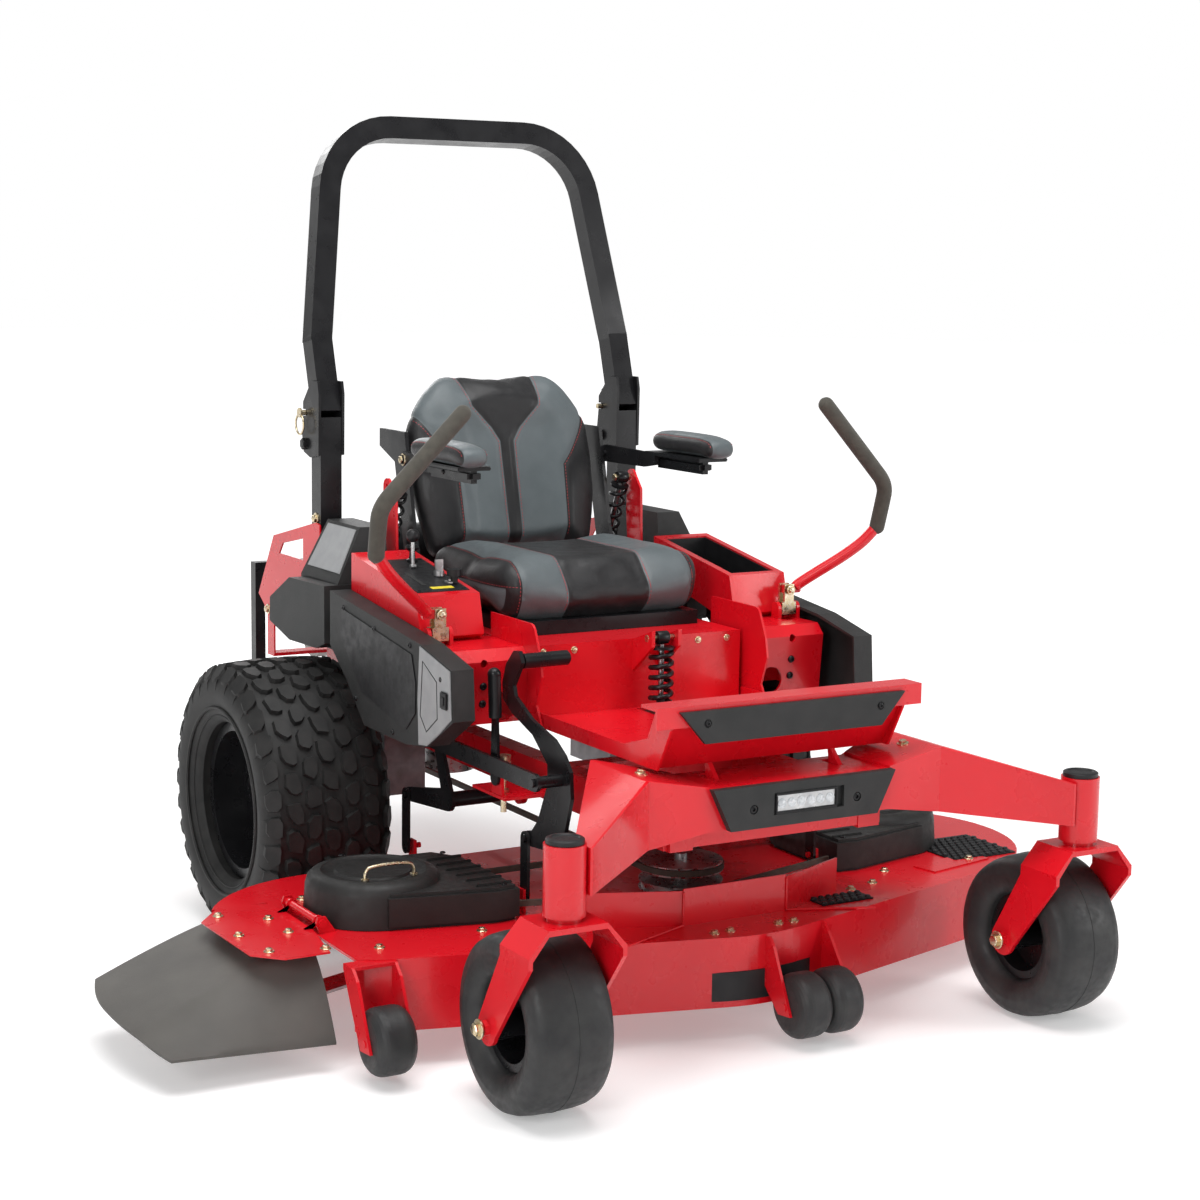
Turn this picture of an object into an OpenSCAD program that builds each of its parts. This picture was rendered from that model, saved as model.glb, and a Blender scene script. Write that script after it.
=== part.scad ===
// Zero turn riding mower with a folding roll bar, a sprung operator platform,
// twin drive levers and a three-blade side-discharge deck.
// Millimetres, +Z up, front towards -Y, machine's left towards +X.
// Modules are drawn from the machine's centreline (x = 0), the rear axle (y = 0)
// and the ground (z = 0); place() shifts them so the origin is under the box's middle.

/* [Wheels] */
// Outside diameter of the rear drive tyres
rear_tyre_d = 610; // [560:5:640]
// Width of the rear drive tyres
rear_tyre_w = 290; // [240:5:300]
// Middle of each rear tyre from the centreline
rear_track = 547; // [547:1:600]
// Rim diameter of the rear wheels
rear_rim_d = 318; // [300:2:360]
// Outside diameter of the caster tyres
caster_tyre_d = 326; // [290:2:336]
// Width of the caster tyres
caster_tyre_w = 160; // [130:2:168]
// Caster pivot from the centreline
caster_track = 575; // [565:1:640]
// Caster pivot ahead of the rear axle
wheel_base = 1328; // [1320:1:1400]
// Caster axle behind its pivot
caster_trail = 99; // [80:1:110]

/* [Frame] */
// Middle of each main rail from the centreline
rail_x = 215; // [205:1:222]
// Width of a main rail
rail_w = 50; // [40:1:50]
// Underside of the main rails
rail_z = 400; // [400:1:410]
// Height of the main rails
rail_h = 75; // [60:1:80]
// Side of the square roll bar tube
bar_side = 50.8; // [44:0.2:51]
// Middle of each roll bar post from the centreline
post_x = 384; // [380:1:390]
// Roll bar posts behind the rear axle
post_y = 118; // [110:1:124]
// Top of the roll bar posts
post_top = 1140; // [1100:5:1180]
// Top of the raised roll bar hoop
hoop_top = 1796; // [1700:4:1840]

/* [Operator platform] */
// Top of the foot floor
floor_z = 562; // [558:1:570]
// Half width of the foot floor
floor_half = 262; // [240:1:264]
// Front of the kick bar ahead of the rear axle
kick_y = 1173; // [1165:1:1180]
// Half width of the kick bar
kick_half = 300; // [280:1:310]
// Underside of the seat cushion
seat_z = 738; // [736:1:745]
// Thickness of the seat cushion
cushion_t = 130; // [100:2:140]
// Width of the seat cushion
cushion_w = 508; // [460:2:512]
// Height of the seat back's top
back_top = 1245; // [1180:5:1280]

/* [Deck] */
// Outer spindles from the centreline
spindle_x = 609.5; // [608:0.5:612]
// Outer spindles ahead of the rear axle
spindle_y = 625; // [624:0.5:628]
// Middle spindle ahead of the outer two
spindle_lead = 165; // [160:1:175]
// Length of a blade
blade_l = 610; // [580:2:612]
// Underside of the deck skirt
skirt_z = 70; // [66:1:76]
// Top of the deck plate
deck_z = 208; // [204:1:212]
// Sheet thickness of the deck
deck_t = 5; // [4:0.5:6]
// Diameter of the anti-scalp rollers
roller_d = 127; // [110:1:130]

/* [Clearances] */
// Radial clearance of a running fit
run_gap = 0.05; // [0.02:0.01:0.1]
// Gap between pieces that sit against each other
seat_gap = 0.3; // [0.2:0.05:0.5]

/* [Hidden] */
$fn = 48;

red = "firebrick";
black = "#151515";
plastic = "#2b2c2d";
zinc = "goldenrod";

// Outer reach of the machine, for the origin under the middle of its box
chute_reach = 1160;
deck_wall = 8;
chamber_r = blade_l / 2 + deck_wall + deck_t;
deck_reach = spindle_x + chamber_r;
guard_reach = 730;
front_reach = wheel_base - caster_trail + caster_tyre_d / 2;
mid_x = (deck_reach - chute_reach) / 2;
mid_y = (guard_reach - front_reach) / 2;

rail_top = rail_z + rail_h;
rear_axle_z = rear_tyre_d / 2;
caster_axle_z = caster_tyre_d / 2;
eps = 0.01;

// ---- helpers -------------------------------------------------------------

module place() {
    translate([-mid_x, -mid_y, 0]) children();
}

// Box from its lowest corner to its highest corner
module span(a, b) {
    translate(a) cube([b[0] - a[0], b[1] - a[1], b[2] - a[2]]);
}

// Both sides of the machine
module both() {
    children();
    mirror([1, 0, 0]) children();
}

// Side = -1 is the machine's right, side = 1 its left
module on_side(side) {
    if (side > 0) children();
    if (side < 0) mirror([1, 0, 0]) children();
}

// Rod along X from x0 to x1 through (y, z)
module rod_x(x0, x1, y, z, r) {
    translate([x0, y, z]) rotate([0, 90, 0]) cylinder(h = x1 - x0, r = r);
}

// Rod along Y from y0 to y1 through (x, z)
module rod_y(y0, y1, x, z, r) {
    translate([x, y1, z]) rotate([90, 0, 0]) cylinder(h = y1 - y0, r = r);
}

// Profile of (y, z) points, as a plate from x0 to x1
module plate_x(x0, x1, points) {
    translate([x0, 0, 0]) rotate([90, 0, 90]) linear_extrude(x1 - x0) polygon(points);
}

// Profile of (x, z) points, as a plate from y0 to y1
module plate_y(y0, y1, points) {
    translate([0, y1, 0]) rotate([90, 0, 0]) linear_extrude(y1 - y0) polygon(points);
}

// Straight round bar between two points
module bar(a, b, r) {
    d = b - a;
    l = norm(d);
    translate(a) rotate([0, acos(d[2] / l), atan2(d[1], d[0])]) cylinder(h = l, r = r);
}

// Hex-head bolt along +X: head at x0, pointing outwards by side
module bolt_x(x, y, z, r, h) {
    translate([x, y, z]) rotate([0, 90, 0]) cylinder(h = h, r = r, $fn = 6);
}

// Points of an arc in (a, b), for outlines
function arc(cx, cy, r, a0, a1, n = 8) =
    [for (i = [0 : n]) [cx + r * cos(a0 + (a1 - a0) * i / n), cy + r * sin(a0 + (a1 - a0) * i / n)]];

// Half section of a tyre as (radius, along the axle), with rounded shoulders
function tyre_section(r_in, r_out, w, shoulder, bead) = concat(
    [[r_in, -bead], [r_in + 14, -bead - 2]],
    arc(r_out - shoulder, -w / 2 + shoulder, shoulder, 270, 360, 8),
    arc(r_out - shoulder, w / 2 - shoulder, shoulder, 0, 90, 8),
    [[r_in + 14, bead + 2], [r_in, bead]]);

module tyre(r_in, r_out, w, shoulder, bead) {
    rotate([0, 90, 0]) rotate_extrude($fn = 96)
        polygon(tyre_section(r_in, r_out, w, shoulder, bead));
}

// Rim barrel with two bead flanges, a dished disc and a bored hub
module rim(r, w, flange, disc_x, bore_r, hub_r, hub_w) {
    half = w / 2;
    rotate([0, 90, 0]) rotate_extrude($fn = 96) {
        polygon([[r - 8, -half], [r - 8, half], [r + flange, half], [r + flange, half - 4],
            [r - seat_gap, half - 4], [r - seat_gap, 4 - half], [r + flange, 4 - half],
            [r + flange, -half]]);
        polygon([[hub_r - 2, disc_x - 3], [r - 5, disc_x - 12], [r - 5, disc_x - 6],
            [hub_r - 2, disc_x + 3]]);
        translate([bore_r, -hub_w / 2]) square([hub_r - bore_r, hub_w]);
    }
}

// ---- frame ---------------------------------------------------------------

shock_y = -660;
shock_x = 25;
shock_eye_z = rail_top + 12;
lift_y = -945;
lift_z = 382;
lift_r = 16;
rear_lift_y = -497;
// A lift crank's link pin and bar pin, as (y, z) from its pivot
link_arm = [185, -26];
bar_arm = [52, 118];
tilt_y = -1120;
tilt_z = 500;
tilt_r = 8;
brake_y = -700;
brake_z = 470;
brake_x = 377;
pin_x = 356;
pin_y = -690;
pin_r = 6;
step_z = rail_z + 30;
rear_shock_x = 284;
rear_shock_top = [-52, 985];
rear_shock_low = [76, 660];
eye_pin_r = 6;
half_bar = bar_side / 2;
rail_in = rail_x - rail_w / 2;
rail_out = rail_x + rail_w / 2;
rail_rear = 560;
hitch_z = rail_top + 7;
hitch_r = 10;
rail_front = -1130;

module main_frame() place() color(red) {
    difference() {
        union() {
            both() span([rail_in, rail_front, rail_z], [rail_out, rail_rear, rail_top]);
            for (y = [rail_front + 25, shock_y, 85, 531])
                span([-rail_in - 1, y - 23, rail_z + 5], [rail_in + 1, y + 23, rail_top - 5]);
            // engine plate between the rails
            span([-rail_in - 1, 105, rail_z + 1], [rail_in + 1, 510, rail_z + 8]);
            // ears of the front shock
            for (s = [-1, 1]) span([shock_x + s * 24 - 4, shock_y - 20, rail_top - 6],
                [shock_x + s * 24 + 4, shock_y + 20, shock_eye_z + 14]);
            // ears of the platform's tilt pins
            both() plate_x(150, 158, concat([[tilt_y - 13, rail_top - 6]], arc(tilt_y, tilt_z, 13, 180, 0, 8),
                [[tilt_y + 13, rail_top - 6]]));
            // outriggers and plates that carry the roll bar posts
            both() span([rail_out - 1, post_y - 20, rail_top - 42], [post_x - half_bar - 11, post_y + 32, rail_top - 2]);
            both() span([post_x - half_bar - 11.7, post_y - 20, rail_top - 46],
                [post_x - half_bar - seat_gap, post_y + 60, 770]);
            // plates with the rear shocks' lower eyes
            both() plate_x(rear_shock_x + 24, rear_shock_x + 30, concat([[60, rail_top - 8], [60, 560]],
                arc(rear_shock_low[0], rear_shock_low[1], 18, 180, 0, 8), [[108, 560], [108, rail_top - 8]]));
            both() span([rail_out - 1, 98, rail_top - 30], [rear_shock_x + 30, 108, rail_top - 2]);
            // hangers of the two lift shafts
            both() for (y = [lift_y, rear_lift_y])
                plate_x(rail_x - 6, rail_x + 6, concat([[y - 26, rail_z + 2]],
                    arc(y, lift_z, 26, 180, 360, 12), [[y + 26, rail_z + 2]]));
            // height-of-cut step beside the right rail, and its stay
            span([-pin_x - 24, pin_y - 50, step_z], [-rail_out + 1, pin_y + 90, step_z + 6]);
            span([-rail_out - 60, pin_y + 60, step_z - 20], [-rail_out + 1, pin_y + 66, step_z + 1]);
            // park brake plate
            plate_x(-brake_x, -brake_x + 6, [[brake_y - 22, step_z + 5], [brake_y - 18, brake_z + 18],
                [brake_y + 18, brake_z + 18], [brake_y + 22, step_z + 5]]);
            // towing plate
            span([-130, rail_rear - 7, rail_z + 8], [130, rail_rear + 3, hitch_z + 22]);
        }
        // crankshaft passes through the engine plate
        translate([0, crank_y, rail_z - 1]) cylinder(h = 12, r = crank_r + 12);
        both() for (y = [lift_y, rear_lift_y]) rod_x(rail_x - 8, rail_x + 8, y, lift_z, lift_r + run_gap);
        rod_x(-12, 62, shock_y, shock_eye_z, eye_pin_r + run_gap);
        both() rod_x(148, 160, tilt_y, tilt_z, tilt_r + run_gap);
        both() rod_x(rear_shock_x + 20, rear_shock_x + 34, rear_shock_low[0], rear_shock_low[1], eye_pin_r + run_gap);
        // rows of height-of-cut holes, and the hole that holds the pin
        for (i = [0 : 4]) for (j = [0, 1])
            translate([-rail_out - 40 - j * 24, pin_y - 36 + i * 22, step_z - 1]) cylinder(h = 8, r = 4.5);
        translate([-pin_x, pin_y, step_z - 1]) cylinder(h = 8, r = pin_r + run_gap);
        rod_x(-brake_x - 1, -brake_x + 8, brake_y, brake_z, 7 + run_gap);
        // hitch hole and two bolt holes in the towing plate
        rod_y(rail_rear - 10, rail_rear + 10, 0, hitch_z, hitch_r);
        for (s = [-1, 1]) rod_y(rail_rear - 10, rail_rear + 10, s * 90, rail_z + 38, 6.5);
    }
}

// Front carrier: caster tubes, two folded arms and the middle beam
tube_r = 37.5;
tube_low = 378;
tube_high = 504;
stem_r = 16;
beam_half = 200;

// Two arm sections, as boxes that each arm is stretched between
module arm_root() span([330, -1200, 432], [338, -1000, 560]);
module arm_tip() span([caster_track - tube_r - 2, -wheel_base - 28, 414],
    [caster_track - tube_r + 3, -wheel_base + 28, 497]);

module carrier_frame() place() color(red) {
    difference() {
        union() {
            both() translate([caster_track, -wheel_base, tube_low]) cylinder(h = tube_high - tube_low, r = tube_r);
            both() hull() {
                arm_tip();
                arm_root();
            }
            both() hull() {
                arm_root();
                span([beam_half + 4, -1206, 452], [beam_half + 8, -1060, 536]);
            }
            both() hull() {
                span([330, -1050, 432], [338, -1000, 560]);
                span([rail_out + seat_gap, -960, rail_z + 2], [rail_out + 9, -930, rail_top - 4]);
            }
            both() span([rail_out + seat_gap, -1120, rail_z + 2], [rail_out + 9, -930, rail_top - 4]);
            both() span([rail_out + seat_gap, -1120, rail_z + 40], [338, -1050, rail_top - 4]);
            plate_x(-beam_half - 6, beam_half + 6, [[-1206, 452], [-1160, 442], [-1137, 442], [-1137, 531],
                [-1206, 531]]);
            span([-beam_half - 6, -1140, 524], [beam_half + 6, -1060, 531]);
        }
        both() translate([caster_track, -wheel_base, tube_low - 1])
            cylinder(h = tube_high - tube_low + 2, r = stem_r + run_gap);
        // the rails' front ends sit inside the arms
        both() span([rail_in - seat_gap, rail_front - seat_gap, 380], [rail_out + seat_gap, -900, rail_top + seat_gap]);
        // windows for the platform's tilt lugs
        both() span([130, tilt_y - 16, 520], [148, tilt_y + 40, 540]);
    }
}

// Black bumper with a row of lamps in a recess
module light_bumper() place() color(plastic) {
    front = -1206 - seat_gap;
    lamp_x = 66;
    difference() {
        plate_y(front - 16, front, [[-206, 533], [206, 533], [166, 452], [-166, 452]]);
        span([-lamp_x - 6, front - 17, 474], [lamp_x + 20, front - 8, 515]);
        for (s = [-1, 1]) rod_y(front - 17, front - 6, s * 117, 489, 9);
        for (s = [-1, 1]) rod_y(front - 17, front + 1, s * 117, 489, 5);
    }
    // lamp lens and bezel
    span([-lamp_x, front - 14, 478], [lamp_x, front - 8.3, 511]);
    for (s = [-1, 1]) rod_y(front - 10, front - 6.3, s * 117, 489, 8);
}

// ---- roll bar ------------------------------------------------------------

fold_y = post_y + 45;
fold_z = post_top - 75;
lock_z = post_top - 5;
lock_r = 6;
plate_t = 6;
post_low = 614;

module roll_bar_posts() place() color(black) both() {
    difference() {
        union() {
            difference() {
                span([post_x - half_bar, post_y - half_bar, post_low], [post_x + half_bar, post_y + half_bar, post_top - 12]);
                span([post_x - half_bar + 5, post_y - half_bar + 5, post_low - 1],
                    [post_x + half_bar - 5, post_y + half_bar - 5, post_top - 18]);
            }
            // clevis plates on both sides of each post, with open lock notches
            for (x = [post_x - half_bar - plate_t, post_x + half_bar - eps])
                plate_x(x, x + plate_t + eps, concat(
                    [[post_y - 27, post_top - 96], [post_y - 29, post_top + 40], [post_y - 22, post_top + 68],
                     [post_y + 12, post_top + 68], [fold_y + 14, lock_z + 24], [fold_y + 14, lock_z + lock_r + 1.5],
                     [fold_y, lock_z + lock_r + 1.5]],
                    arc(fold_y - 2, lock_z, lock_r + 1.5, 90, 270, 8),
                    [[fold_y + 14, lock_z - lock_r - 1.5], [fold_y + 20, fold_z + 20], [fold_y + 12, fold_z - 18],
                     [post_y + 20, post_top - 104]]));
        }
        rod_x(post_x - 60, post_x + 60, fold_y, fold_z, 8);
    }
    // pivot bolt with its head and nut
    rod_x(post_x - half_bar - plate_t - 10, post_x + half_bar + plate_t + 10, fold_y, fold_z, 8 - run_gap);
    for (x = [post_x - half_bar - plate_t - 9, post_x + half_bar + plate_t + seat_gap])
        difference() {
            bolt_x(x, fold_y, fold_z, 13, 8.7);
            rod_x(x - 1, x + 10, fold_y, fold_z, 8);
        }
}

// Hoop centreline in (x, z): legs lean in above the bend, with round corners
hoop_foot_z = post_top - 6;
bend_z = 1298;
bend_y = 168;
hoop_lean = 10.6;
corner_r = 190;
top_half = 300;
hoop_in = atan2(post_x - top_half - 12, hoop_top - bend_z);

// Leg that stands between the clevis plates, starting at the origin
module hoop_leg(l) {
    translate([seat_gap - half_bar, -half_bar, 0]) cube([bar_side - 2 * seat_gap, bar_side, l]);
}

// Outline of the hoop above its bend, at a distance d outside the centreline
function hoop_side(d, cx, cz, r) = concat(
    [[post_x + 4 * tan(hoop_in) + d / cos(hoop_in), -4]], arc(cx, cz, r + d, hoop_in, 90, 10));
function flip_x(pts) = [for (i = [len(pts) - 1 : -1 : 0]) [-pts[i][0], pts[i][1]]];
function reversed(pts) = [for (i = [len(pts) - 1 : -1 : 0]) pts[i]];

module roll_bar_hoop() place() color(black) {
    leg_y = bend_y - post_y;
    leg_l = norm([leg_y, bend_z - hoop_foot_z]);
    foot_tilt = atan2(leg_y, bend_z - hoop_foot_z);
    upper_h = (hoop_top - bend_z) / cos(hoop_lean);
    r_mid = corner_r - half_bar;
    cz = upper_h - half_bar - r_mid;
    // centre of the corner arc, where the leaning leg runs into it
    cx = post_x - cz * tan(hoop_in) - r_mid / cos(hoop_in);
    outside = hoop_side(half_bar, cx, cz, r_mid);
    inside = hoop_side(-half_bar, cx, cz, r_mid);
    difference() {
        union() {
            both() translate([post_x, post_y, hoop_foot_z + 2]) rotate([-foot_tilt, 0, 0]) hoop_leg(leg_l + 4);
            translate([0, bend_y, bend_z]) rotate([-hoop_lean, 0, 0]) translate([0, half_bar, 0]) rotate([90, 0, 0])
                linear_extrude(bar_side)
                polygon(concat(outside, flip_x(outside), reversed(flip_x(inside)), reversed(inside)));
            // lug at the foot of each leg, between the clevis plates
            both() plate_x(post_x - half_bar + seat_gap, post_x + half_bar - seat_gap, concat(
                [[post_y - 10, hoop_foot_z + 6], [post_y + 10, hoop_foot_z + 60], [fold_y + 12, lock_z + 40]],
                arc(fold_y, fold_z, 17, 20, -90, 6),
                [[fold_y - 17, fold_z], [fold_y - 17, hoop_foot_z - 2]]));
        }
        both() rod_x(post_x - 40, post_x + 40, fold_y, fold_z, 8);
        both() rod_x(post_x - 40, post_x + 40, fold_y, lock_z, lock_r + run_gap);
    }
}

// Lock pin with a pull ring
module lock_pin() {
    out = post_x + half_bar + plate_t + 12;
    rod_x(post_x - half_bar - plate_t - 12, out, fold_y, lock_z, lock_r);
    rod_x(out, out + 4, fold_y, lock_z, 11);
    translate([out + 2, fold_y, lock_z - 26]) rotate([0, 90, 0]) rotate_extrude($fn = 48)
        translate([22, 0]) circle(r = 2.4, $fn = 16);
}

module lock_pin_right() place() color(zinc) on_side(-1) lock_pin();
module lock_pin_left() place() color(zinc) on_side(1) lock_pin();

// ---- rear body -----------------------------------------------------------

tank_out = 500;
tank_in = 420;
plate_out = post_x + half_bar + 6.6;

module rear_plates() place() color(red) both() {
    difference() {
        union() {
            plate_x(plate_out, plate_out + 4, [[76, 660], [76, 890], [100, 893], [345, 838], [440, 690],
                [385, 655], [385, 560], [345, 560], [345, 655]]);
            span([post_x + half_bar + seat_gap, post_y - 20, 640], [plate_out + 1, post_y + 20, 700]);
            span([post_x + half_bar + seat_gap, post_y - 20, 800], [plate_out + 1, post_y + 20, 860]);
        }
        plate_x(plate_out - 2, plate_out + 6, [[170, 800], [170, 850], [290, 826], [312, 800]]);
    }
    // strut from the plate's foot to the rail
    span([rail_out + seat_gap, 345, 552], [plate_out + 4, 385, 559.7]);
    span([rail_out + seat_gap, 345, rail_top - 30], [rail_out + 6, 385, 552 + eps]);
}

module engine_guard() place() color(black) {
    side = 38;
    both() difference() {
        span([rail_out + seat_gap, 470, rail_z + 6], [rail_out + seat_gap + side, guard_reach - side + 1, rail_z + 6 + side]);
        span([rail_out + seat_gap + 3, 469, rail_z + 9], [rail_out + seat_gap + side - 3, guard_reach - side - 3, rail_z + 3 + side]);
    }
    difference() {
        span([-330, guard_reach - side, rail_z + 6], [330, guard_reach, rail_z + 6 + side]);
        span([-331, guard_reach - side + 3, rail_z + 9], [331, guard_reach - 3, rail_z + 3 + side]);
    }
    both() span([300, guard_reach - side + 4, rail_z + 6 + side - eps], [326, guard_reach - 4, 700]);
    span([-326, guard_reach - side + 4, 700 - eps], [326, guard_reach - 4, 726]);
}

// ---- engine --------------------------------------------------------------

crank_y = 300;
crank_r = 14;
block_z = rail_z + 8 + seat_gap;

module engine_block() place() color("dimgray") {
    difference() {
        union() {
            translate([0, crank_y, block_z]) cylinder(h = 30, r = 130);
            translate([0, crank_y, block_z + 29]) cylinder(h = 170, r = 112);
            // two finned cylinders in a V towards the rear
            for (s = [-1, 1]) translate([0, crank_y, block_z + 128]) rotate([0, 0, 90 - s * 45]) {
                translate([60, -52, -52]) cube([150, 104, 104]);
                for (i = [0 : 5]) translate([118 + i * 15, -62, -60]) cube([6, 124, 120]);
                translate([208, -58, -56]) cube([34, 116, 112]);
            }
        }
        translate([0, crank_y, block_z - 1]) cylinder(h = 240, r = crank_r + run_gap);
    }
    // oil filter
    translate([84, crank_y - 68, block_z + 110]) rotate([0, 90, -38]) cylinder(h = 85, r = 38);
}

shroud_z = block_z + 199 + seat_gap;

module engine_shroud() place() color(black) {
    difference() {
        union() {
            translate([0, crank_y, shroud_z]) cylinder(h = 96, r = 188);
            translate([0, crank_y, shroud_z + 95]) cylinder(h = 26, r1 = 168, r2 = 130);
        }
        translate([0, crank_y, shroud_z + 6]) cylinder(h = 84, r = 182);
        translate([0, crank_y, shroud_z - 1]) cylinder(h = 10, r = 80);
        // round air screen slots
        for (i = [0 : 11]) translate([0, crank_y, shroud_z + 80]) rotate([0, 0, i * 30])
            translate([60, -6, 0]) cube([56, 12, 60]);
    }
}

module air_cleaner() place() color(plastic) {
    y = 176;
    z = shroud_z + 194;
    rod_x(-300, -276, y, z, 66);
    rod_x(-276 - eps, 60, y, z, 71);
    rod_x(60 - eps, 90, y, z, 60);
    // saddle onto the shroud
    span([-60, y - 30, shroud_z + 121 + seat_gap], [30, y + 50, z - 50]);
}

module muffler() place() color("gray") {
    rod_x(-210, 210, guard_reach - 118, 560, 66);
    rod_x(210 - eps, 262, guard_reach - 118, 560, 18);
    // exhaust stubs towards the cylinder heads
    for (s = [-1, 1]) rod_y(512.5, guard_reach - 170, s * 130, 540, 16);
}

drive_pulley_z = 256;

module crank_drive() place() color("silver") {
    translate([0, crank_y, drive_pulley_z - 8]) cylinder(h = shroud_z + 48 - drive_pulley_z, r = crank_r);
    // clutch and deck drive pulley under the engine
    difference() {
        translate([0, crank_y, drive_pulley_z]) cylinder(h = 90, r = pulley_r);
        translate([0, crank_y, drive_pulley_z - 1]) cylinder(h = 92, r = crank_r - 1);
    }
    // cooling fan inside the shroud
    difference() {
        translate([0, crank_y, shroud_z + 12]) cylinder(h = 24, r = 120);
        translate([0, crank_y, shroud_z + 11]) cylinder(h = 26, r = crank_r - 1);
    }
}

// ---- fuel ----------------------------------------------------------------

hump_front = -128;
hump_rear = 72;
hump_top = 905;
cap_x = 462;
cap_y = 117;
neck_top = 786;

module tank() {
    plate_x(tank_in + seat_gap, tank_out, [[175, 668], [172, 722], [60, 780], [-134, 785], [-134, 660],
        [-90, 644], [60, 640]]);
    hull() {
        span([post_x - 38, hump_front, 640], [tank_in + 46, hump_rear, 786]);
        span([post_x - 38, hump_front + 16, 786], [tank_in - 14, hump_rear - 10, hump_top]);
    }
}

module fuel_tanks() place() color(plastic) {
    both() tank();
    translate([cap_x, cap_y, 740]) cylinder(h = neck_top - 740, r = 30);
}

// Cap that screws onto the left tank's filler neck
module fuel_cap() place() color("black") {
    translate([cap_x, cap_y, neck_top + seat_gap]) cylinder(h = 22, r = 38);
    for (i = [0 : 11]) translate([cap_x, cap_y, neck_top + seat_gap]) rotate([0, 0, i * 30])
        translate([37, -3, 3]) cube([4, 6, 16]);
}

// ---- wheels --------------------------------------------------------------

hub_bolt_r = 57;
rear_hub_r = 46;

module rear_rim(side) on_side(side) translate([rear_track, 0, rear_axle_z]) color(black) {
    difference() {
        rim(rear_rim_d / 2, 200, 12, 30, 19, rear_hub_r, 90);
        for (i = [0 : 4]) rotate([i * 72, 0, 0]) rod_x(0, 60, 0, hub_bolt_r + 14, 7);
    }
    for (i = [0 : 4]) rotate([i * 72, 0, 0]) bolt_x(31, 0, hub_bolt_r + 14, 11, 14);
}

module rear_tyre(side) on_side(side) translate([rear_track, 0, rear_axle_z]) color("#1c1c1c")
    tyre(rear_rim_d / 2, rear_tyre_d / 2, rear_tyre_w, 46, 94);

module rear_rim_right() place() rear_rim(-1);
module rear_rim_left() place() rear_rim(1);
module rear_tyre_right() place() rear_tyre(-1);
module rear_tyre_left() place() rear_tyre(1);

// Hydraulic transaxles on the outside of the rails, with the wheel shafts
module transaxles() place() color("dimgray") both() {
    span([rail_out + seat_gap, -95, rear_axle_z - 5], [rail_out + 100, 95, 455]);
    rod_x(rail_out + 99, rear_track - 46, 0, rear_axle_z, 42);
    rod_x(rear_track - 47, rear_track + 52, 0, rear_axle_z, 19 - run_gap);
    // input shaft, pulley and fan
    translate([rail_out + 50, -40, 455 - eps]) cylinder(h = 26, r = 16);
    translate([rail_out + 50, -40, 481 - 2 * eps]) cylinder(h = 14, r = 42);
}

// ---- casters -------------------------------------------------------------

fork_top = 370;
fork_plate = 10;
leg_t = 8;
leg_in = caster_tyre_w / 2 + 8;
caster_bolt_r = 9.5;
caster_bore_r = 11;

module caster_fork(side) on_side(side) translate([caster_track, -wheel_base, 0]) color(red) {
    z = caster_axle_z;
    difference() {
        union() {
            span([-58, -52, fork_top - fork_plate], [58, 52, fork_top]);
            both() plate_y(-52, 52, [[57, fork_top - fork_plate], [57, fork_top], [leg_in + leg_t, 326],
                [leg_in + leg_t, 306], [leg_in, 306], [leg_in, 320]]);
            both() plate_x(leg_in, leg_in + leg_t, concat(
                [[-52, 307], [52, 307]], arc(caster_trail, z, 32, 20, -160, 12)));
        }
        both() rod_x(leg_in - 1, leg_in + leg_t + 1, caster_trail, z, caster_bolt_r);
    }
    // bearing collar and stem up through the carrier's tube
    translate([0, 0, fork_top - eps]) cylinder(h = tube_low - fork_top - seat_gap, r = 30);
    translate([0, 0, tube_low - seat_gap - 2 * eps]) cylinder(h = tube_high - tube_low + 5, r = stem_r);
    translate([0, 0, tube_high + seat_gap]) cylinder(h = 5, r = 31);
    // axle bolt with head and nut
    rod_x(-leg_in - leg_t - 12, leg_in + leg_t + 14, caster_trail, z, caster_bolt_r - run_gap);
    both() difference() {
        bolt_x(leg_in + leg_t + seat_gap, caster_trail, z, 15, 9);
        rod_x(leg_in, leg_in + 40, caster_trail, z, caster_bolt_r);
    }
}

caster_rim_r = 78;

module caster_rim(side) on_side(side) translate([caster_track, -wheel_base + caster_trail, caster_axle_z])
    color(black) rim(caster_rim_r, 104, 7, 0, caster_bolt_r, 24, 2 * leg_in - 2 * seat_gap);

module caster_tyre(side) on_side(side) translate([caster_track, -wheel_base + caster_trail, caster_axle_z])
    color("#1c1c1c") tyre(caster_rim_r, caster_tyre_d / 2, caster_tyre_w, 44, 46);

module caster_fork_right() place() caster_fork(-1);
module caster_fork_left() place() caster_fork(1);
module caster_rim_right() place() caster_rim(-1);
module caster_rim_left() place() caster_rim(1);
module caster_tyre_right() place() caster_tyre(-1);
module caster_tyre_left() place() caster_tyre(1);

// ---- operator platform ---------------------------------------------------

pan_t = 4;
floor_low = floor_z - 6;
pedestal_front = -604;
pedestal_rear = -110;
pedestal_top = seat_z - 30;
cheek_t = 5;
cheek_out = floor_half + 11;

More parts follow.
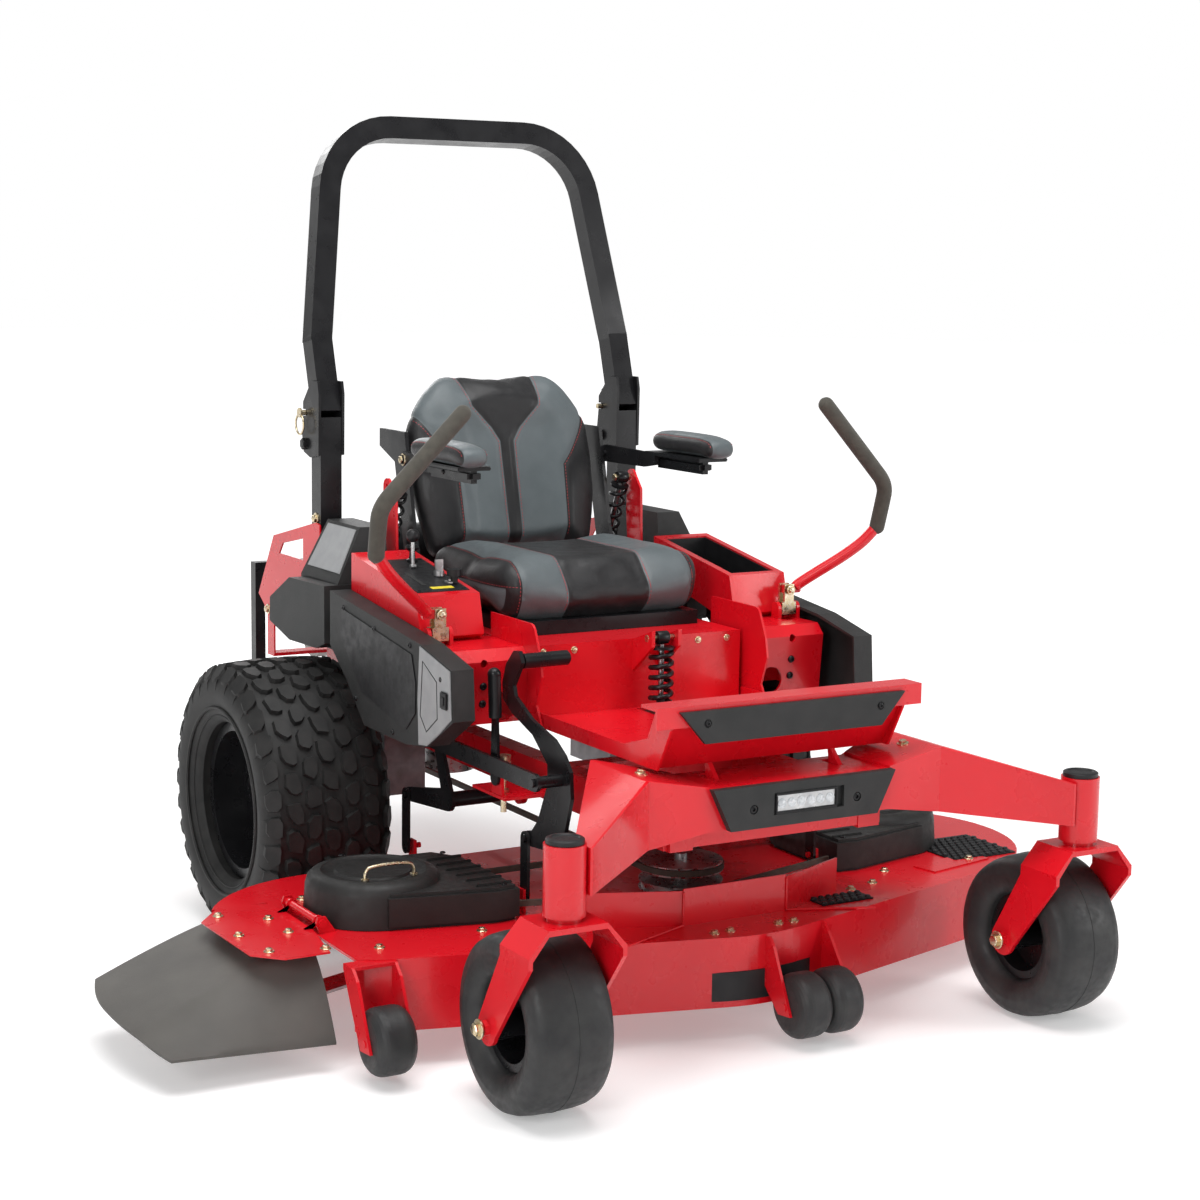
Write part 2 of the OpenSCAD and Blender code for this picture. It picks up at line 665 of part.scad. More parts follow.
module platform_pan() place() color(red) {
    // floor, with a window for the front shock
    difference() {
        span([-floor_half, -1100, floor_low], [floor_half, pedestal_front - seat_gap, floor_z]);
        span([shock_x - 31, shock_y - 45, floor_low - 1], [shock_x + 31, shock_y + 45, floor_z + 1]);
    }
    // side walls rising to the kick bar
    both() plate_x(floor_half - 1, floor_half + pan_t, [[pedestal_front, floor_low], [-1120, floor_low],
        [-kick_y + 8, 640], [-kick_y + 8, 680], [-1120, 680], [-1085, 610], [-1000, 585], [pedestal_front, 585]]);
    // toe board
    plate_x(-floor_half, floor_half, [[-1098, floor_low], [-1102, floor_low], [-kick_y + 14, 650],
        [-kick_y + 20, 650]]);
    // kick bar
    plate_x(-kick_half, kick_half, [[-kick_y, 644], [-kick_y + 6, 644], [-kick_y + 6, 678], [-1118, 678],
        [-1118, 684], [-kick_y, 684]]);
    // tilt lugs and pins
    both() plate_x(136, 146, concat([[-1096, floor_low + 1]], arc(tilt_y, tilt_z, 13, 0, -180, 8),
        [[tilt_y - 13, 530], [-1106, floor_low + 1]]));
    both() rod_x(145, 162, tilt_y, tilt_z, tilt_r);
}

module kick_panel() place() color(plastic) {
    y = -kick_y - seat_gap;
    difference() {
        plate_y(y - 9, y, [[-254, 674], [254, 674], [200, 612], [-200, 612]]);
        for (s = [-1, 1]) rod_y(y - 10, y - 5, s * 196, 650, 8);
    }
    for (s = [-1, 1]) rod_y(y - 8, y - 5.3, s * 196, 650, 7);
}

// Red box under the seat, its curved cheeks, and the posts of the rear shocks
module seat_pedestal() place() color(red) {
    post_in = rear_shock_x + 25;
    difference() {
        span([-floor_half + 6, pedestal_front, floor_low + 2], [floor_half - 6, pedestal_rear, pedestal_top]);
        span([-floor_half + 11, pedestal_front + 5, floor_low + 1],
            [floor_half - 11, pedestal_rear - 5, pedestal_top - 5]);
    }
    both() plate_x(cheek_out - cheek_t, cheek_out, concat([[-470, 562], [-470, 762]],
        arc(-640, 742, 20, 90, 160, 4), [[-682, 700], [-690, 660], [-668, 600], [-690, 562]]));
    both() span([floor_half - 7, -560, floor_low + 40], [cheek_out - cheek_t + 1, -480, floor_low + 100]);
    // ears of the front shock's upper eye
    for (s = [-1, 1]) difference() {
        plate_x(shock_x + s * 32 - 4, shock_x + s * 32 + 4, [[pedestal_front + 1, 640], [pedestal_front + 1, 706],
            [shock_y - 20, 734], [shock_y - 20, 700]]);
        rod_x(-20, 70, shock_y, 716, eye_pin_r + run_gap);
    }
    // posts behind the seat, up to the rear shocks' upper eyes
    span([-post_in - 6, pedestal_rear - 1, 640], [post_in + 6, -62, 696]);
    both() difference() {
        plate_x(post_in, post_in + 6, concat([[-108, 640], [-96, 960]],
            arc(rear_shock_top[0], rear_shock_top[1], 18, 160, 0, 8), [[-34, 900], [-62, 640]]));
        rod_x(post_in - 1, post_in + 7, rear_shock_top[0], rear_shock_top[1], eye_pin_r + run_gap);
    }
}

// Coil over damper between two eyes given as (y, z), with its eye pins
module shock(x, low, high, r, p0, p1) {
    a = [x, low[0], low[1]];
    b = [x, high[0], high[1]];
    u = (b - a) / norm(b - a);
    bar(a + u * 8, b - u * 8, 9);
    bar(a + u * 30, b - u * 30, r);
    for (p = [a, b]) rod_x(x - 16, x + 16, p[1], p[2], 13);
    for (p = [a, b]) rod_x(x + p0, x + p1, p[1], p[2], eye_pin_r);
}

module shocks() place() color(black) {
    shock(shock_x, [shock_y, shock_eye_z], [shock_y, 716], 26, -38, 38);
    both() shock(rear_shock_x, rear_shock_low, rear_shock_top, 22, -18, 31);
}

lever_x = 424;
lever_y = -530;
lever_z = 735;
swing_z = 776;
lever_pin_r = 6;

module console_pair() {
    back = -165;
    both() difference() {
        union() {
            plate_x(306, 450, [[back, 778], [back, 858], [-482, 806], [-504, 724], [-472, 704]]);
            plate_x(cheek_out + seat_gap, 452, [[-462, 562], [-462, 712], [-612, 712], [-634, 690], [-622, 562]]);
        }
        plate_x(311, 445, [[back - 5, 780], [back - 5, 851], [-478, 800], [-498, 728], [-480, 716], [-466, 716]]);
        plate_x(cheek_out + 6, 446, [[-468, 561], [-468, 706], [-609, 706], [-628, 688], [-616, 561]]);
        rod_y(-650, -600, 322, 596, 30);
        rod_y(-650, -600, 372, 686, 8);
        // slot for the drive lever's linkage
        span([lever_x - 12, lever_y - 24, 704], [lever_x + 12, lever_y + 24, 714]);
    }
    // ears and pivot pin of each drive lever
    both() for (x = [lever_x - 28, lever_x + 20]) plate_x(x, x + 8, concat([[lever_y - 14, 711]],
        arc(lever_y, lever_z, 14, 180, 0, 8), [[lever_y + 14, 711]]));
    both() rod_x(lever_x - 24, lever_x + 24, lever_y, lever_z, lever_pin_r);
}

module consoles() place() color(red) difference() {
    union() {
        console_pair();
        // storage bin in the left console
        plate_x(318, 438, [[-470, 740], [-180, 740], [-180, 853], [-470, 805]]);
    }
    span([322, -466, 744], [434, -184, 870]);
}

module side_panels() place() color(plastic) both()
    difference() {
        plate_x(452 + seat_gap, tank_out, [[-165, 780], [-165, 664], [-250, 602], [-340, 520], [-540, 518],
            [-640, 531], [-752, 600], [-744, 700], [-612, 730]]);
        plate_x(451, tank_out - 5, [[-170, 774], [-170, 668], [-253, 608], [-343, 526], [-539, 524],
            [-637, 537], [-746, 604], [-739, 696], [-610, 724]]);
    }

// ---- seat ----------------------------------------------------------------

seat_rear = -92;
seat_front = -520;
back_half = 244;

module seat_base() place() color(black) {
    span([-220, seat_front + 30, pedestal_top + seat_gap], [220, seat_rear - 10, seat_z - seat_gap]);
    // side frames that carry the seat back and the armrests' pivots, with a handle behind
    both() plate_x(back_half + seat_gap, back_half + 9, [[-88, seat_z - 22], [-40, seat_z - 22], [40, 1030],
        [120, 1060], [120, 1100], [-10, 1100], [-60, 880], [-88, 800]]);
    both() span([212, -150, seat_z - 24], [back_half + 9, -60, seat_z - 8]);
    both() rod_x(back_half + 4, back_half + 24, arm_y, arm_z, 6);
    both() rod_x(back_half + 20.3, back_half + 25, arm_y, arm_z, 10);
}

module seat_cushion() place() color("#2a2d2f")
    plate_x(-cushion_w / 2, cushion_w / 2, concat([[seat_rear, seat_z], [seat_rear - 4, seat_z + cushion_t - 24]],
        arc(seat_front + 52, seat_z + cushion_t - 52, 52, 90, 200, 8),
        [[seat_front + 18, seat_z + 10], [seat_front + 40, seat_z]]));

// Seat back as one closed solid that leans back
module seat_back() place() color("#2a2d2f") {
    low = seat_z + cushion_t - 16;
    lean = 14;
    translate([0, seat_rear + 4, low]) rotate([-lean, 0, 0])
        translate([0, 112, 0]) rotate([90, 0, 0]) linear_extrude(108)
        polygon([[-220, 0], [-243, 120], [-244, 270], [-200, 345], [-150, 404], [150, 404], [200, 345],
            [244, 270], [243, 120], [220, 0]]);
}

arm_y = -28;
arm_z = 1040;
arm_x = 302;

module armrest(side) on_side(side) {
    color(black) difference() {
        union() {
            plate_x(back_half + 9 + seat_gap, back_half + 20, concat(arc(arm_y, arm_z, 20, -90, 70, 6),
                [[-60, 1060], [-250, 1056], [-230, 1022]]));
            span([back_half + 9 + seat_gap, -430, 1050], [arm_x + 30, -200, 1059]);
        }
        rod_x(back_half, back_half + 40, arm_y, arm_z, 6 + run_gap);
    }
    color("#2a2d2f") translate([arm_x - 38, 0, 0]) rotate([90, 0, 90]) linear_extrude(76)
        polygon(concat(arc(-440, 1084, 25, 90, 270, 8), [[-190, 1059], [-176, 1076], [-182, 1098], [-200, 1109]]));
}

module armrest_right() place() armrest(-1);
module armrest_left() place() armrest(1);

// ---- controls ------------------------------------------------------------

swing_r = 5;

// Fork that swings fore and aft on the console's pin and carries the lever
module lever_bracket(side) on_side(side) color(zinc) difference() {
    union() {
        span([lever_x - 18, lever_y - 13, lever_z - 13], [lever_x + 18, lever_y + 13, lever_z + 14]);
        for (y = [lever_y - 13, lever_y + 7]) span([lever_x - 12, y, lever_z + 13],
            [lever_x + 12, y + 6, swing_z + 12]);
    }
    rod_x(lever_x - 20, lever_x + 20, lever_y, lever_z, lever_pin_r + run_gap);
    rod_y(lever_y - 14, lever_y + 14, lever_x, swing_z, swing_r + run_gap);
}

lever_bend = [560, -600, 868];
grip_low = [600, -617, 915];
grip_bend = [603, -641, 1009];
grip_tip = [431, -650, 1186];

// Tube with a foam grip, swinging outwards on the bracket's pin
module lever(side) on_side(side) {
    color(red) {
        span([lever_x - 9, lever_y - 6, swing_z - 9], [lever_x + 38, lever_y + 6, swing_z + 9]);
        rod_y(lever_y - 16, lever_y + 16, lever_x, swing_z, swing_r);
        bar([lever_x + 32, lever_y - 2, swing_z + 8], lever_bend, 12.5);
        translate(lever_bend) sphere(r = 12.9, $fn = 24);
        bar(lever_bend, grip_low, 12.5);
    }
    color("#3b3a34") {
        bar(grip_low, grip_bend, 17);
        translate(grip_bend) sphere(r = 17.4, $fn = 24);
        bar(grip_bend, grip_tip, 17);
        translate(grip_tip) sphere(r = 17.4, $fn = 24);
    }
}

module lever_bracket_right() place() lever_bracket(-1);
module lever_bracket_left() place() lever_bracket(1);
module lever_right() place() lever(-1);
module lever_left() place() lever(1);

module park_brake_lever() place() color(black) {
    x = -brake_x - 3 - seat_gap;
    rod_x(x - 3, -brake_x + 10, brake_y, brake_z, 7);
    plate_x(x - 3, x + 3, concat(arc(brake_y, brake_z, 16, 180, 360, 8), [[brake_y + 12, 600], [brake_y - 8, 600]]));
    bar([x, brake_y + 2, 590], [x, brake_y + 8, 676], 13);
    translate([x, brake_y + 8, 676]) sphere(r = 13.4, $fn = 24);
}

// Top face of a console, for the controls that stand on it
function console_z(y) = 858 + (y + 165) * 52 / 317 + seat_gap;

throttle_y = -300;
key_y = -363;
pto_y = -417;

module throttle_lever() place() color("silver") {
    z = console_z(throttle_y);
    bar([-370, throttle_y, z + 5], [-370, throttle_y, z + 62], 4);
    translate([-370, throttle_y, z + 70]) sphere(r = 14, $fn = 32);
    rod_x(-376, -364, throttle_y, z + 5, 5);
}

module ignition_key() place() color("silver") {
    z = console_z(key_y + 12);
    translate([-340, key_y, z]) cylinder(h = 10, r = 11);
    span([-349, key_y - 2, z + 9], [-331, key_y + 2, z + 34]);
}

module pto_knob() place() color(black) {
    z = console_z(pto_y + 12);
    translate([-332, pto_y, z]) cylinder(h = 16, r = 8);
    translate([-332, pto_y, z + 15]) cylinder(h = 14, r = 15);
}

// ---- deck lift -----------------------------------------------------------

crank_x = 335;
crank_t = 8;
link_pin_r = 7;
link_x = crank_x + crank_t / 2 + 2;
link_t = 6;
front_pin = [lift_y + link_arm[0], lift_z + link_arm[1]];
front_bar_pin = [lift_y + bar_arm[0], lift_z + bar_arm[1]];
rear_crank_x = 381;
rear_link_x = rear_crank_x + crank_t / 2 + 2;
rear_pin = [rear_lift_y + link_arm[0], lift_z + link_arm[1]];
rear_bar_pin = [rear_lift_y + bar_arm[0], lift_z + bar_arm[1]];
bar_x = 395;
bar_pin_r = 8;

// Short arm from a lift shaft to its link pin
module crank_arm(x, pivot) {
    p = [pivot + link_arm[0], lift_z + link_arm[1]];
    plate_x(x - crank_t / 2, x + crank_t / 2, concat(arc(pivot, lift_z, 24, 90, 270, 8),
        arc(p[0], p[1], 15, -90, 80, 8)));
    rod_x(x, x + crank_t / 2 + link_t + 6, p[0], p[1], link_pin_r);
}

// Foot pedal arm on the right, with the shaft and both front cranks
module lift_arm() place() color(black) {
    mirror([1, 0, 0]) {
        crank_arm(crank_x, lift_y);
        plate_x(crank_x - crank_t / 2, crank_x + crank_t / 2, [[-905, 392], [-930, 470], [-925, 520], [-900, 548],
            [-860, 572], [-768, 596], [-700, 630], [-694, 650], [-728, 700], [-716, 722], [-694, 720],
            [-662, 688], [-648, 650], [-652, 616], [-690, 594], [-775, 566], [-836, 520], [-838, 480],
            [-800, 400], [-775, 374], [-800, 362]]);
        // foot peg
        rod_x(crank_x - 114, crank_x - crank_t / 2 + eps, -706, 700, 11);
        rod_x(crank_x - 110, crank_x - crank_t / 2 - 6, -706, 700, 15);
        // spacer and pin towards the lift bar
        rod_x(crank_x, bar_x - 4 - seat_gap, front_bar_pin[0], front_bar_pin[1], 12);
        rod_x(crank_x, bar_x + 10, front_bar_pin[0], front_bar_pin[1], bar_pin_r);
    }
    crank_arm(crank_x, lift_y);
    rod_x(-crank_x, crank_x, lift_y, lift_z, lift_r);
}

module lift_bar() place() color(black) difference() {
    mirror([1, 0, 0]) plate_x(bar_x - 4, bar_x + 4, concat(
        arc(front_bar_pin[0], front_bar_pin[1], 17, 90, 270, 8),
        arc(rear_bar_pin[0], rear_bar_pin[1], 17, -90, 90, 8)));
    for (p = [front_bar_pin, rear_bar_pin]) rod_x(-bar_x - 6, -bar_x + 6, p[0], p[1], bar_pin_r + run_gap);
}

module rear_crank() place() color(black) {
    both() crank_arm(rear_crank_x, rear_lift_y);
    mirror([1, 0, 0]) {
        plate_x(rear_crank_x - crank_t / 2, rear_crank_x + crank_t / 2, concat([[rear_lift_y + 20, lift_z - 10],
            [rear_lift_y - 16, lift_z + 16]], arc(rear_bar_pin[0], rear_bar_pin[1], 15, 160, -20, 8)));
        rod_x(rear_crank_x, bar_x + 10, rear_bar_pin[0], rear_bar_pin[1], bar_pin_r);
    }
    rod_x(-rear_crank_x, rear_crank_x, rear_lift_y, lift_z, lift_r);
}

module height_pin() place() color(zinc) translate([-pin_x, pin_y, 0]) {
    translate([0, 0, step_z - 34]) cylinder(h = 92, r = pin_r);
    translate([0, 0, step_z + 6 + seat_gap]) cylinder(h = 6, r = 11);
    translate([0, 0, step_z + 57]) cylinder(h = 24, r = 14);
}

// ---- deck ----------------------------------------------------------------

centre_y = spindle_y + spindle_lead;
lean_front = atan2(spindle_lead, spindle_x);
spindle_gap = norm([spindle_x, spindle_lead]);
shaft_r = 12.5;
pulley_r = 80;
link_low_z = 242;
hinge_x = 758;
cover_r = 138;
hinge_z = 228;
hinge_r = 8;
chute_edge = 770;
side_roller_x = -710;
// deck edge behind the right roller
roller_arm_y = round(-spindle_y - sqrt(pow(chamber_r, 2) - pow(side_roller_x + spindle_x, 2)));
side_roller_y = roller_arm_y - 66;
mid_roller_x = 0;
mid_roller_y = -1176;

// Outline at a distance r round the three spindles: the deck's plan and its belt's
module deck_plan(r) {
    polygon(concat(
        arc(-spindle_x, -spindle_y, r, 90, 180, 16),
        arc(-spindle_x, -spindle_y, r, 180, 270 - lean_front, 12),
        arc(0, -centre_y, r, 270 - lean_front, 270 + lean_front, 8),
        arc(spindle_x, -spindle_y, r, 270 + lean_front, 360, 12),
        arc(spindle_x, -spindle_y, r, 360, 450, 16)));
}

// Hanger ear for the foot of a deck link
module hanger(x, y) {
    plate_x(x, x + 6, [[y - 15, deck_z - 2], [y - 13, link_low_z + 14], [y + 13, link_low_z + 14],
        [y + 15, deck_z - 2]]);
    rod_x(x - link_t - 8, x + 1, y, link_low_z, 6);
}

module deck_shell() place() color(red) {
    difference() {
        union() {
            difference() {
                translate([0, 0, skirt_z]) linear_extrude(deck_z - skirt_z) deck_plan(chamber_r);
                translate([0, 0, skirt_z - 1]) linear_extrude(deck_z - skirt_z - deck_t + 1)
                    deck_plan(chamber_r - deck_t);
            }
            // spindle housings
            for (p = [[-spindle_x, -spindle_y], [0, -centre_y], [spindle_x, -spindle_y]]) {
                translate([p[0], p[1], deck_z - deck_t - 60]) cylinder(h = 61, r = 38);
                translate([p[0], p[1], deck_z - 1]) cylinder(h = 7, r = 70);
            }
            // hangers for the lift links
            both() hanger(link_x + link_t + 2, front_pin[0]);
            both() hanger(rear_link_x + link_t + 2 - 24, rear_pin[0]);
            // belt guard in front of the middle pulleys
            plate_y(-992, -988, [[-120, deck_z - 1], [-120, deck_z + 74], [120, deck_z + 74], [120, deck_z - 1]]);
            both() translate([119, -990, 0]) rotate([0, 0, 22])
                span([0, -2, deck_z - 1], [190, 2, deck_z + 70]);
            // ears of the chute hinge
            for (y = [-716, -548]) plate_y(y, y + 6, [[-hinge_x - 12, hinge_z], [-hinge_x - 8, hinge_z + 12],
                [-hinge_x + 8, hinge_z + 12], [-hinge_x + 30, deck_z - 1], [-hinge_x - 4, deck_z - 1]]);
            rod_y(-722, -536, -hinge_x, hinge_z, hinge_r);
            // front step plate of the left wing
            translate([620, -860, deck_z - 1]) rotate([0, 0, 12]) span([-60, -30, 0], [120, 30, 4]);
        }
        for (p = [[-spindle_x, -spindle_y], [0, -centre_y], [spindle_x, -spindle_y]])
            translate([p[0], p[1], deck_z - 80]) cylinder(h = 100, r = shaft_r + run_gap);
        // discharge opening under the chute
        span([-deck_reach - 5, -960, skirt_z - 2], [-chute_edge, -470, deck_z + 1]);
    }
    // right roller's arms and axle
    for (x = [side_roller_x - 86, side_roller_x]) plate_x(x, x + 6, [[roller_arm_y + 27, deck_z - 12], [roller_arm_y + 27, deck_z - 2],
        [roller_arm_y - 11, deck_z - 2], [roller_arm_y - 33, 186], [side_roller_y - 24, 66], [side_roller_y + 18, 62],
        [roller_arm_y - 9, 130]]);
    span([side_roller_x - 86, roller_arm_y - 11, deck_z - 8], [side_roller_x + 6, roller_arm_y + 27, deck_z - 2]);
    rod_x(side_roller_x - 88, side_roller_x + 8, side_roller_y, 80, 8);
    // middle rollers' bracket and axle
    for (x = [mid_roller_x - 6, mid_roller_x + 148]) let (y = 3 - centre_y - sqrt(pow(chamber_r, 2) - x * x))
        plate_x(x, x + 6, [[y, 110], [y, 200], [y - 14, 206], [y - 30, 190], [mid_roller_y - 20, 66],
            [mid_roller_y + 20, 62]]);
    rod_x(mid_roller_x - 8, mid_roller_x + 156, mid_roller_y, 80, 8);
}

roller_gap = 0.5;

module roller(x0, x1, y) {
    translate([x0, y, 80]) rotate([0, 90, 0]) rotate_extrude($fn = 64) polygon(concat(
        [[8 + run_gap, 0], [8 + run_gap, x1 - x0]],
        arc(roller_d / 2 - 24, x1 - x0 - 24, 24, 90, 0, 6), arc(roller_d / 2 - 24, 24, 24, 0, -90, 6)));
}

module roller_right() place() color("#222222") roller(side_roller_x - 80 + roller_gap,
    side_roller_x - roller_gap, side_roller_y);
module roller_centre() place() color("#222222") {
    roller(mid_roller_x + roller_gap, mid_roller_x + 74, mid_roller_y);
    roller(mid_roller_x + 74, mid_roller_x + 148 - roller_gap, mid_roller_y);
}

// Black covers over the outer pulleys, open towards the middle
module belt_covers() place() color(plastic) both() difference() {
    union() {
        translate([-spindle_x, -spindle_y, deck_z + seat_gap]) cylinder(h = 88, r = cover_r);
        translate([0, 0, deck_z + seat_gap]) linear_extrude(70)
            polygon([[-640, -484], [-420, -496], [-380, -560], [-380, -806], [-430, -812],
                [-640, -764]]);
    }
    translate([-spindle_x, -spindle_y, deck_z - 1]) cylinder(h = 84, r = cover_r - 5);
    translate([0, 0, deck_z - 1]) linear_extrude(66)
        polygon([[-640, -489], [-423, -501], [-370, -560], [-370, -801], [-430, -806],
            [-640, -759]]);
}

module deck_link(x, pin) {
    difference() {
        plate_x(x, x + link_t, concat(arc(pin[0], pin[1], 15, 0, 180, 8), arc(pin[0], link_low_z, 15, 180, 360, 8)));
        // slotted top, so that the crank's arc has room
        for (d = [-6, 6]) rod_x(x - 1, x + link_t + 1, pin[0] + d, pin[1], link_pin_r + 0.8);
        span([x - 1, pin[0] - 6, pin[1] - link_pin_r - 0.8], [x + link_t + 1, pin[0] + 6, pin[1] + link_pin_r + 0.8]);
        rod_x(x - 1, x + link_t + 1, pin[0], link_low_z, 6 + run_gap);
    }
}

module deck_links() place() color(black) {
    both() deck_link(link_x, front_pin);
    both() deck_link(rear_link_x, rear_pin);
}

// Outline at a distance r round the engine's pulley and the middle one
module drive_plan(r) {
    polygon(concat(arc(0, -centre_y, r, 180, 360, 24), arc(0, crank_y, r, 0, 180, 24)));
}

deck_belt_z = 226;
drive_belt_z = 266;
belt_h = 12;
belt_t = 8;

module belt_drive() place() color("#26221f") {
    inner = pulley_r + seat_gap;
    translate([0, 0, deck_belt_z]) linear_extrude(belt_h) difference() {
        deck_plan(inner + belt_t);
        deck_plan(inner);
    }
    translate([0, 0, drive_belt_z]) linear_extrude(belt_h) difference() {
        drive_plan(inner + belt_t);
        drive_plan(inner);
    }
}

// Shaft, pulley and blade that turn together
module spindle(pulleys, top) {
    translate([0, 0, skirt_z + 6]) cylinder(h = top - skirt_z - 6, r = shaft_r);
    for (z = pulleys) {
        translate([0, 0, z - 2]) cylinder(h = belt_h + 4, r = pulley_r);
        translate([0, 0, z - 4]) cylinder(h = 3, r = pulley_r + 6);
        translate([0, 0, z + belt_h + 1]) cylinder(h = 3, r = pulley_r + 6);
    }
    difference() {
        union() {
            translate([0, 0, skirt_z + 14]) linear_extrude(6) intersection() {
                square([blade_l, 63], center = true);
                circle(blade_l / 2, $fn = 96);
            }
            // lifting sails at the trailing edges
            for (s = [0, 180]) rotate([0, 0, s])
                translate([blade_l / 2 - 110, 22, skirt_z + 19]) rotate([28, 0, 0]) cube([95, 5, 26]);
        }
        translate([0, 0, skirt_z + 12]) cylinder(h = 10, r = shaft_r - 1);
    }
    translate([0, 0, skirt_z + 4]) cylinder(h = 9.7, r = 19, $fn = 6);
}

module spindle_right() place() color("silver") translate([-spindle_x, -spindle_y, 0]) rotate([0, 0, 20])
    spindle([deck_belt_z], deck_belt_z + 40);
module spindle_left() place() color("silver") translate([spindle_x, -spindle_y, 0]) rotate([0, 0, 20])
    spindle([deck_belt_z], deck_belt_z + 40);
module spindle_centre() place() color("silver") translate([0, -centre_y, 0]) rotate([0, 0, -60])
    spindle([deck_belt_z, drive_belt_z], drive_belt_z + 28);

// ---- discharge chute -----------------------------------------------------

plate_z = deck_z + 3;
rubber_t = 6;
rubber_rows = 9;
rubber_cols = 9;

// Height of the rubber sheet's underside at u across and v along the chute
function rubber_z(u, v) = let (s = max(0, (v - 0.7) / 0.3), slope = 204.7 - (99 + 34 * v) * pow(u, 1.35))
    slope + (50 + 14 * u - slope) * pow(s, 1.6);
function rubber_x(u, v) = -806 - u * (chute_reach - 806 - 90 * pow(max(0, v - 1 / 3), 2)
    - 250 * pow(max(0, 1 / 3 - v), 2));
function rubber_y(u, v) = -482 - 410 * v - 20 * u * (1 - v) * v - 14 * u * (1 - v) + 8 * u * v;
rubber_points = [for (k = [0, 1]) for (i = [0 : rubber_rows]) for (j = [0 : rubber_cols])
    let (u = i / rubber_rows, v = j / rubber_cols) [rubber_x(u, v), rubber_y(u, v), rubber_z(u, v) + k * rubber_t]];
function rubber_index(k, i, j) = (k * (rubber_rows + 1) + i) * (rubber_cols + 1) + j;
// One quad as two triangles, seen from outside
function quad(a, b, c, d) = [[a, b, c], [a, c, d]];

module rubber() {
    n = rubber_rows;
    m = rubber_cols;
    faces = concat(
        [for (i = [0 : n - 1]) for (j = [0 : m - 1]) each quad(rubber_index(0, i, j), rubber_index(0, i + 1, j),
            rubber_index(0, i + 1, j + 1), rubber_index(0, i, j + 1))],
        [for (i = [0 : n - 1]) for (j = [0 : m - 1]) each quad(rubber_index(1, i, j), rubber_index(1, i, j + 1),
            rubber_index(1, i + 1, j + 1), rubber_index(1, i + 1, j))],
        [for (i = [0 : n - 1]) each quad(rubber_index(0, i, 0), rubber_index(1, i, 0),
            rubber_index(1, i + 1, 0), rubber_index(0, i + 1, 0))],
        [for (i = [0 : n - 1]) each quad(rubber_index(0, i + 1, m), rubber_index(1, i + 1, m),
            rubber_index(1, i, m), rubber_index(0, i, m))],
        [for (j = [0 : m - 1]) each quad(rubber_index(0, 0, j + 1), rubber_index(1, 0, j + 1),
            rubber_index(1, 0, j), rubber_index(0, 0, j))],
        [for (j = [0 : m - 1]) each quad(rubber_index(0, n, j), rubber_index(1, n, j),
            rubber_index(1, n, j + 1), rubber_index(0, n, j + 1))]);
    polyhedron(points = rubber_points, faces = faces);
}

module chute() place() {
    color(red) difference() {
        union() {
            translate([0, 0, plate_z]) linear_extrude(4) polygon([[-770.5, -564], [-776, -500], [-876, -478],
                [-942, -560], [-938, -800], [-890, -852], [-800, -852], [-770.5, -700]]);
            for (y = [-700, -570]) plate_y(y, y + 6, concat([[-hinge_x - 30, plate_z + 1]],
                [[-hinge_x - 30, plate_z + 4]], arc(-hinge_x, hinge_z, 11.5, 150, -60, 8)));
        }
        rod_y(-720, -540, -hinge_x, hinge_z, hinge_r + run_gap);
    }
    color("#4a4a48") rubber();
}

// ---- output --------------------------------------------------------------
main_frame();
carrier_frame();
light_bumper();
roll_bar_posts();
roll_bar_hoop();
lock_pin_right();
lock_pin_left();
rear_plates();
engine_guard();
engine_block();
engine_shroud();
air_cleaner();
muffler();
crank_drive();
transaxles();
fuel_tanks();
fuel_cap();
rear_rim_right();
rear_tyre_right();
rear_rim_left();
rear_tyre_left();
caster_fork_right();
caster_fork_left();
caster_rim_right();
caster_tyre_right();
caster_rim_left();
caster_tyre_left();
platform_pan();
kick_panel();
seat_pedestal();
consoles();
side_panels();
shocks();
seat_base();
seat_cushion();
seat_back();
armrest_right();
armrest_left();
lever_bracket_right();
lever_bracket_left();
lever_right();
lever_left();
park_brake_lever();
throttle_lever();
ignition_key();
pto_knob();
lift_arm();
lift_bar();
rear_crank();
height_pin();
deck_shell();
belt_covers();
deck_links();
belt_drive();
chute();
spindle_right();
spindle_centre();
spindle_left();
roller_right();
roller_centre();
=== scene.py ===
# %% [markdown]
# # A zero turn mower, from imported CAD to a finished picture
# The metal, the joints and the sizes come from the CAD frame. This file gives every part its
# finish and adds what CAD leaves plain: sewn seats, tread, springs, foam grips, bolts and trim.

# %% Load the fixed frame
import math
import random

import bmesh
import bpy
from mathutils import Matrix, Vector
from mathutils.bvhtree import BVHTree


